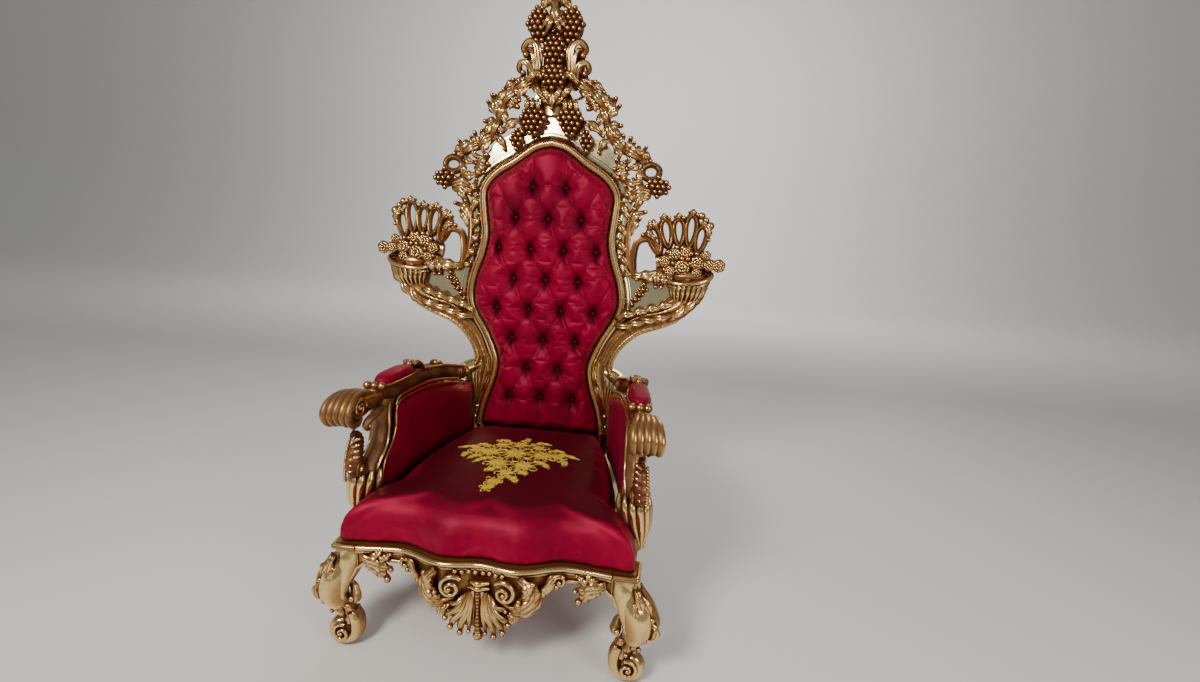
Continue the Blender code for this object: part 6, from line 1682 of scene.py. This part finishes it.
# %% Seat pad
def seat_outline():
    half = []
    corner = SEAT_HALF - 0.001
    for k in range(17):
        x = (corner - 0.016) * k / 16
        half.append((x, front_face_y(x) + 0.003))
    half.append((corner - 0.004, FRONT_CORNER_Y + 0.007))
    for y in (FRONT_CORNER_Y + 0.034, FRONT_CORNER_Y + 0.060, FRONT_CORNER_Y + 0.083):
        half.append((side_line_x(y) - 0.002, y))
    rear = BACK_FACE_Y - 0.002
    for k in range(11):
        y = FRONT_CORNER_Y + 0.150 + (rear - FRONT_CORNER_Y - 0.150) * k / 10
        half.append((side_line_x(y) - 0.063, y))
    last = half[-1][0]
    half += [(last * s, rear) for s in (0.8, 0.6, 0.4, 0.2)]
    return half + [(0, rear)] + [(-x, y) for x, y in reversed(half[1:])]


def seat_crown(x, y):
    across = x / (SEAT_HALF - 0.020)
    along = (y + 0.050) / (BACK_FACE_Y + 0.060)
    return 0.042 * (max(0.0, 1 - across * across) * max(0.0, 1 - along * along)) ** 0.7


SEAT_PROFILE = [(1.0, 0.0), (1.0, 0.15), (1.0, 0.30), (0.995, 0.45), (0.985, 0.60), (0.968, 0.74),
                (0.945, 0.86),
                (0.915, 0.935), (0.88, 0.98), (0.78, 1.0), (0.66, 1.0), (0.52, 1.0), (0.38, 1.0),
                (0.22, 1.0),
                (0.08, 1.0)]


SEAT_SHARE, SEAT_THICK = 0.994, 0.090


def make_seat():
    outline = [Vector((x, y)) for x, y in seat_outline()]
    centre = Vector((0.0, -0.040))
    points = []
    for share, lift in SEAT_PROFILE:
        for p in outline:
            q = centre + (p - centre) * share * SEAT_SHARE
            height = RAIL_TOP + 0.0015 + SEAT_THICK * lift + seat_crown(q.x, q.y) * lift * lift
            points.append((q.x, q.y, height))
    obj = smooth_piece("seat_pad", points, capped_faces(len(SEAT_PROFILE), len(outline)), CRIMSON)
    voxel_skin(obj, 0.0082)
    pins = [v.index for v in obj.data.vertices if v.co.z < RAIL_TOP + 0.006]
    stuffed(obj, 4.0, frames=16, cap=0.008, pins=pins, slack=0.015, bend=0.8)
    subdivided(obj)
    # Faces that look up get painted shade, which darkens the top and leaves the front roll bright.
    rise = np.array([v.normal.z for v in obj.data.vertices])
    point_values(obj, "painted_shade", 0.80 * np.clip((rise - 0.80) / 0.17, 0, 1))
    return obj


seat = make_seat()

# %% [markdown]
# The side panels close the space between seat, arm and back. They are stuffed on both faces and pulled in
# at the edge, where the arm's bead holds them. The arm pads are small crowned cushions on their beds.

# %% Side panels and arm pads
def panel_outline():
    edge = [Vector((y, v)) for y, v in PANEL_EDGE]
    edge[0] = Vector((-0.208, RAIL_TOP + 0.001))
    rear = BACK_FACE_Y - 0.003
    edge[-1].x = rear + BACK_RAKE * (edge[-1].y - RAIL_TOP)
    curve = [Vector((p[0], p[1])) for p in flat_route(edge, 4)]
    curve += [Vector((rear + BACK_RAKE * (z - RAIL_TOP), z)) for z in (0.50, 0.43, 0.36)]
    curve += [Vector((rear + (-0.208 - rear) * k / 12, RAIL_TOP + 0.001)) for k in range(12)]
    return curve


def make_side_panel():
    outline = panel_outline()
    centre = Vector((0.060, 0.470))
    points = []
    layers = [(-1, 0.30, 1.0), (-1, 0.60, 0.97), (-1, 0.82, 0.80), (-1, 0.94, 0.45), (-1, 0.995, 0.0),
              (1, 0.995, 0.0), (1, 0.94, 0.45), (1, 0.82, 0.80), (1, 0.60, 0.97), (1, 0.30, 1.0)]
    for hand, share, puff in layers:
        for p in outline:
            q = centre + (p - centre) * share
            half = PANEL_HALF - 0.002 + 0.010 * puff
            points.append((panel_middle_x(q.x) + hand * half, q.x, q.y))
    obj = smooth_piece("side_panel_right_pad", points, capped_faces(len(layers), len(outline)), CRIMSON)
    voxel_skin(obj, 0.0085)
    stuffed(obj, 2.5, frames=12, cap=0.004, bend=0.8)
    subdivided(obj)
    return obj


panel_right = make_side_panel()
panel_left = mirrored_object(panel_right, "side_panel_left_pad")


def make_arm_pad():
    points = []
    layers = ((0.90, 0.0), (0.98, 0.12), (0.985, 0.35), (0.93, 0.62), (0.80, 0.84), (0.55, 0.96),
              (0.25, 1.0))
    count = 40
    for share, lift in layers:
        for k in range(count):
            turn = 2 * math.pi * k / count
            along, across = squarish(math.cos(turn), 0.55), squarish(math.sin(turn), 0.75)
            y = -0.176 + 0.170 * (0.5 + 0.5 * along * share)
            points.append((arm_line_x(y) + 0.030 * across * share, y, 0.6765 + 0.030 * lift))
    obj = smooth_piece("arm_pad_right_soft", points, capped_faces(len(layers), count), CRIMSON)
    voxel_skin(obj, 0.0040)
    stuffed(obj, 3.0, frames=10, cap=0.002, bend=0.8)
    subdivided(obj)
    return obj


arm_cushion_right = make_arm_pad()
arm_cushion_left = mirrored_object(arm_cushion_right, "arm_pad_left_soft")

# %% [markdown]
# A covered button is a small dome of the same velvet that sits at the bottom of its tuft, darkened nearly to
# black with painted shade. Where the pad's surface lies after the simulation is found by a ray from the
# front, so each button rests on the cloth.
# The rear panel is a thin pad stretched over the back of the opening, with a piped edge.

# %% Buttons and rear panel
def surface_tree(obj):
    """A search tree of an object's faces, to find where a ray meets them."""
    bm = bmesh.new()
    bm.from_mesh(obj.data)
    tree = BVHTree.FromBMesh(bm)
    bm.free()
    return tree


def make_buttons(pad):
    tree = surface_tree(pad)
    carving = Carving()
    for u, v in BUTTONS:
        hit = tree.ray_cast(Vector((u, -1.0, v)), Vector((0, 1, 0)))[0]
        centre = Vector((u, hit.y - SHIFT - 0.001, v))
        bead(carving, centre, 0.0085, (1, 0.62, 1), fine=3)
    made = carving.finish("back_buttons", CRIMSON)
    # Painted shade: each button is darkened as if it lay in its tuft's shadow.
    point_values(made, "painted_shade", [0.90] * len(made.data.vertices))
    return made


buttons = make_buttons(back_cushion)


def make_rear_panel():
    half = opening_route(-0.001, per=4)
    ring = half + [Vector((-p.x, p.y, 0)) for p in reversed(half[1:])]
    centre = Vector((0.0, 0.85, 0))
    layers = [(1.0, -0.0245), (1.0, -0.0330), (0.985, -0.0342), (0.93, -0.0348), (0.80, -0.0352),
              (0.5, -0.0355),
              (0.15, -0.0356)]
    points = []
    for share, out in layers:
        for p in ring:
            q = centre + (p - centre) * share
            points.append(on_back(q.x, q.y, out))
    return smooth_piece("rear_panel_cloth", points, capped_faces(len(layers), len(ring)), CRIMSON)


rear_panel = make_rear_panel()

# %% [markdown]
# The motif on the seat is machine embroidery in gold thread: leaves, blossoms and buds filled with
# stitches, cut out and sewn down. Each leaf is a small raised body that follows the seat's crown, placed by
# rays from above, and fine streaks in the material stand for the thread.

# %% Thread material
def thread_material():
    made, tree, shader = new_material("gold_embroidery")
    crest = attribute(tree, "crest")
    stitch = noise(tree, 420, 3, 0.6, stretch=(1.0, 0.22, 1.0))
    patch = noise(tree, 60, 3)
    # Crest gives each thread piece a painted highlight on its raised top and painted shade in dark brown at
    # its edges and sides; the stitch streaks are the thread itself.
    share = maths(tree, "MULTIPLY", stretch_range(tree, crest, 0.10, 0.60),
                  maths(tree, "ADD", maths(tree, "MULTIPLY", stitch, 0.9), 0.50), clamped=True)
    tree.links.new(blend_colour(tree, share, (0.110, 0.045, 0.003, 1), (0.84, 0.55, 0.014, 1)),
                   shader.inputs["Base Color"])
    tree.links.new(stretch_range(tree, patch, 0.3, 0.7, 0.36, 0.55), shader.inputs["Roughness"])
    shader.inputs["Metallic"].default_value = 0.35
    shader.inputs["Sheen Weight"].default_value = 0.2
    relief_on(tree, shader, stitch, 0.6, 0.0010)
    return made


GOLD_THREAD = thread_material()
print("thread material", GOLD_THREAD.name)

# %% [markdown]
# The blossoms are rings of narrow petals with a curl of cord between them, so the crimson shows through
# as it does in lace. Sprays of lobed leaves run out to the sides and to the point at the front.

# %% Embroidered motif
def make_motif(pad):
    tree = surface_tree(pad)

    def laid(u, v, out=0.0):
        x, y = u, v - 0.085
        hit = tree.ray_cast(Vector((x, y + SHIFT, 1.0)), Vector((0, 0, -1)))[0]
        return Vector((x, y, hit.z + 0.0006 + out))

    carving = Carving()
    blossoms = [((0.000, 0.030), 0.044), ((-0.078, 0.030), 0.038), ((0.082, 0.032), 0.038),
                ((-0.036, -0.040), 0.036),
                ((0.042, -0.044), 0.036), ((0.004, -0.092), 0.028), ((-0.020, -0.140), 0.022),
                ((0.000, 0.098), 0.030),
                ((-0.056, 0.086), 0.026), ((0.060, 0.086), 0.026), ((-0.128, 0.036), 0.022),
                ((0.130, 0.034), 0.022),
                ((-0.030, -0.172), 0.016)]
    for n, (centre, radius) in enumerate(blossoms):
        petals = 6 if radius > 0.03 else 5
        for k in range(petals):
            turn = 2 * math.pi * k / petals + 0.5 * n
            tip = (centre[0] + radius * math.cos(turn), centre[1] + radius * math.sin(turn))
            mid = (centre[0] + 0.6 * radius * math.cos(turn), centre[1] + 0.6 * radius * math.sin(turn))
            leaf(carving, laid, [centre, mid, tip], radius * 0.235, out=0.0010, lift=0.0012, lobes=1,
                 thick=0.0015, fat=0.22)
            curl = [(centre[0] + radius * far * math.cos(turn + a),
                     centre[1] + radius * far * math.sin(turn + a))
                    for far, a in ((0.3, 0.5), (0.8, 0.45), (1.18, 0.60), (1.25, 0.85), (1.08, 0.92))]
            stem(carving, [laid(u, v, 0.0012) for u, v in flat_route(curl, 4)], 0.0015, facing=(0, 0, 1),
                 sides=6)
        bead(carving, laid(*centre, 0.0015), radius * 0.17, (1, 1, 0.5), fine=2, facing=(0, -0.3, 0.95))
    sprays = [((-0.100, 0.040), (-0.150, 0.062), (-0.192, 0.052)),
              ((0.100, 0.040), (0.150, 0.056), (0.195, 0.044)),
              ((-0.060, -0.010), (-0.090, -0.022), (-0.112, -0.046)),
              ((0.064, -0.010), (0.094, -0.020), (0.118, -0.042)),
              ((0.000, -0.110), (-0.012, -0.150), (-0.030, -0.186)),
              ((-0.030, 0.100), (-0.060, 0.124), (-0.090, 0.120)),
              ((0.030, 0.104), (0.060, 0.126), (0.094, 0.120)),
              ((-0.090, 0.070), (-0.120, 0.082), (-0.140, 0.076)),
              ((0.092, 0.070), (0.122, 0.080), (0.146, 0.072)),
              ((-0.020, -0.060), (-0.050, -0.084), (-0.064, -0.080)),
              ((0.024, -0.070), (0.050, -0.086), (0.066, -0.084)),
              ((0.010, -0.110), (0.034, -0.122), (0.044, -0.138)),
              ((-0.140, 0.020), (-0.154, 0.006), (-0.150, -0.014)),
              ((0.140, 0.018), (0.156, 0.004), (0.152, -0.016)),
              ((0.000, 0.120), (0.010, 0.142), (0.004, 0.164)),
              ((-0.100, 0.000), (-0.120, -0.006), (-0.136, -0.026))]
    for route in sprays:
        leaf(carving, laid, route, 0.0100, out=0.0010, lift=0.0014, lobes=3, thick=0.0015, fat=0.20)
        line = [laid(u, v, 0.0028) for u, v in flat_route(route, 5)]
        stem(carving, line, 0.0011, facing=(0, 0, 1), sides=6)
    return carving.finish("seat_embroidery", GOLD_THREAD)


embroidery = make_motif(seat)

# %% [markdown]
# Every piece now rides on the throne's one body and stands for the solids it dresses, which are hidden.

# %% Hand over
GILT_PIECES = {
    crest: ["back_frame"], shoulders: ["back_frame"], back_field: ["back_frame"], stiles: ["back_frame"],
    wings: ["back_frame"], apron: ["seat_rail_front"], leg_right: ["leg_front_right"],
    leg_left: ["leg_front_left"], arm_right: ["arm_right"], arm_left: ["arm_left"],
    rail_right: ["seat_rail_right"], rail_left: ["seat_rail_left"], rail_back: ["seat_rail_back"],
}
VELVET_PIECES = {
    back_cushion: ["back_cushion"], seat: ["seat_cushion"], panel_right: ["side_panel_right"],
    panel_left: ["side_panel_left"], arm_cushion_right: ["arm_pad_right"],
    arm_cushion_left: ["arm_pad_left"],
    rear_panel: ["back_outer_panel"], buttons: ["button_%02d" % (n + 1) for n in range(len(BUTTONS))],
}
for pieces, slot in ((GILT_PIECES, "antique_gilt"), (VELVET_PIECES, "crimson_velvet"),
                     ({embroidery: ["seat_applique"]}, "gold_thread")):
    for piece, nodes in pieces.items():
        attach(piece, "root")
        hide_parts(*nodes)
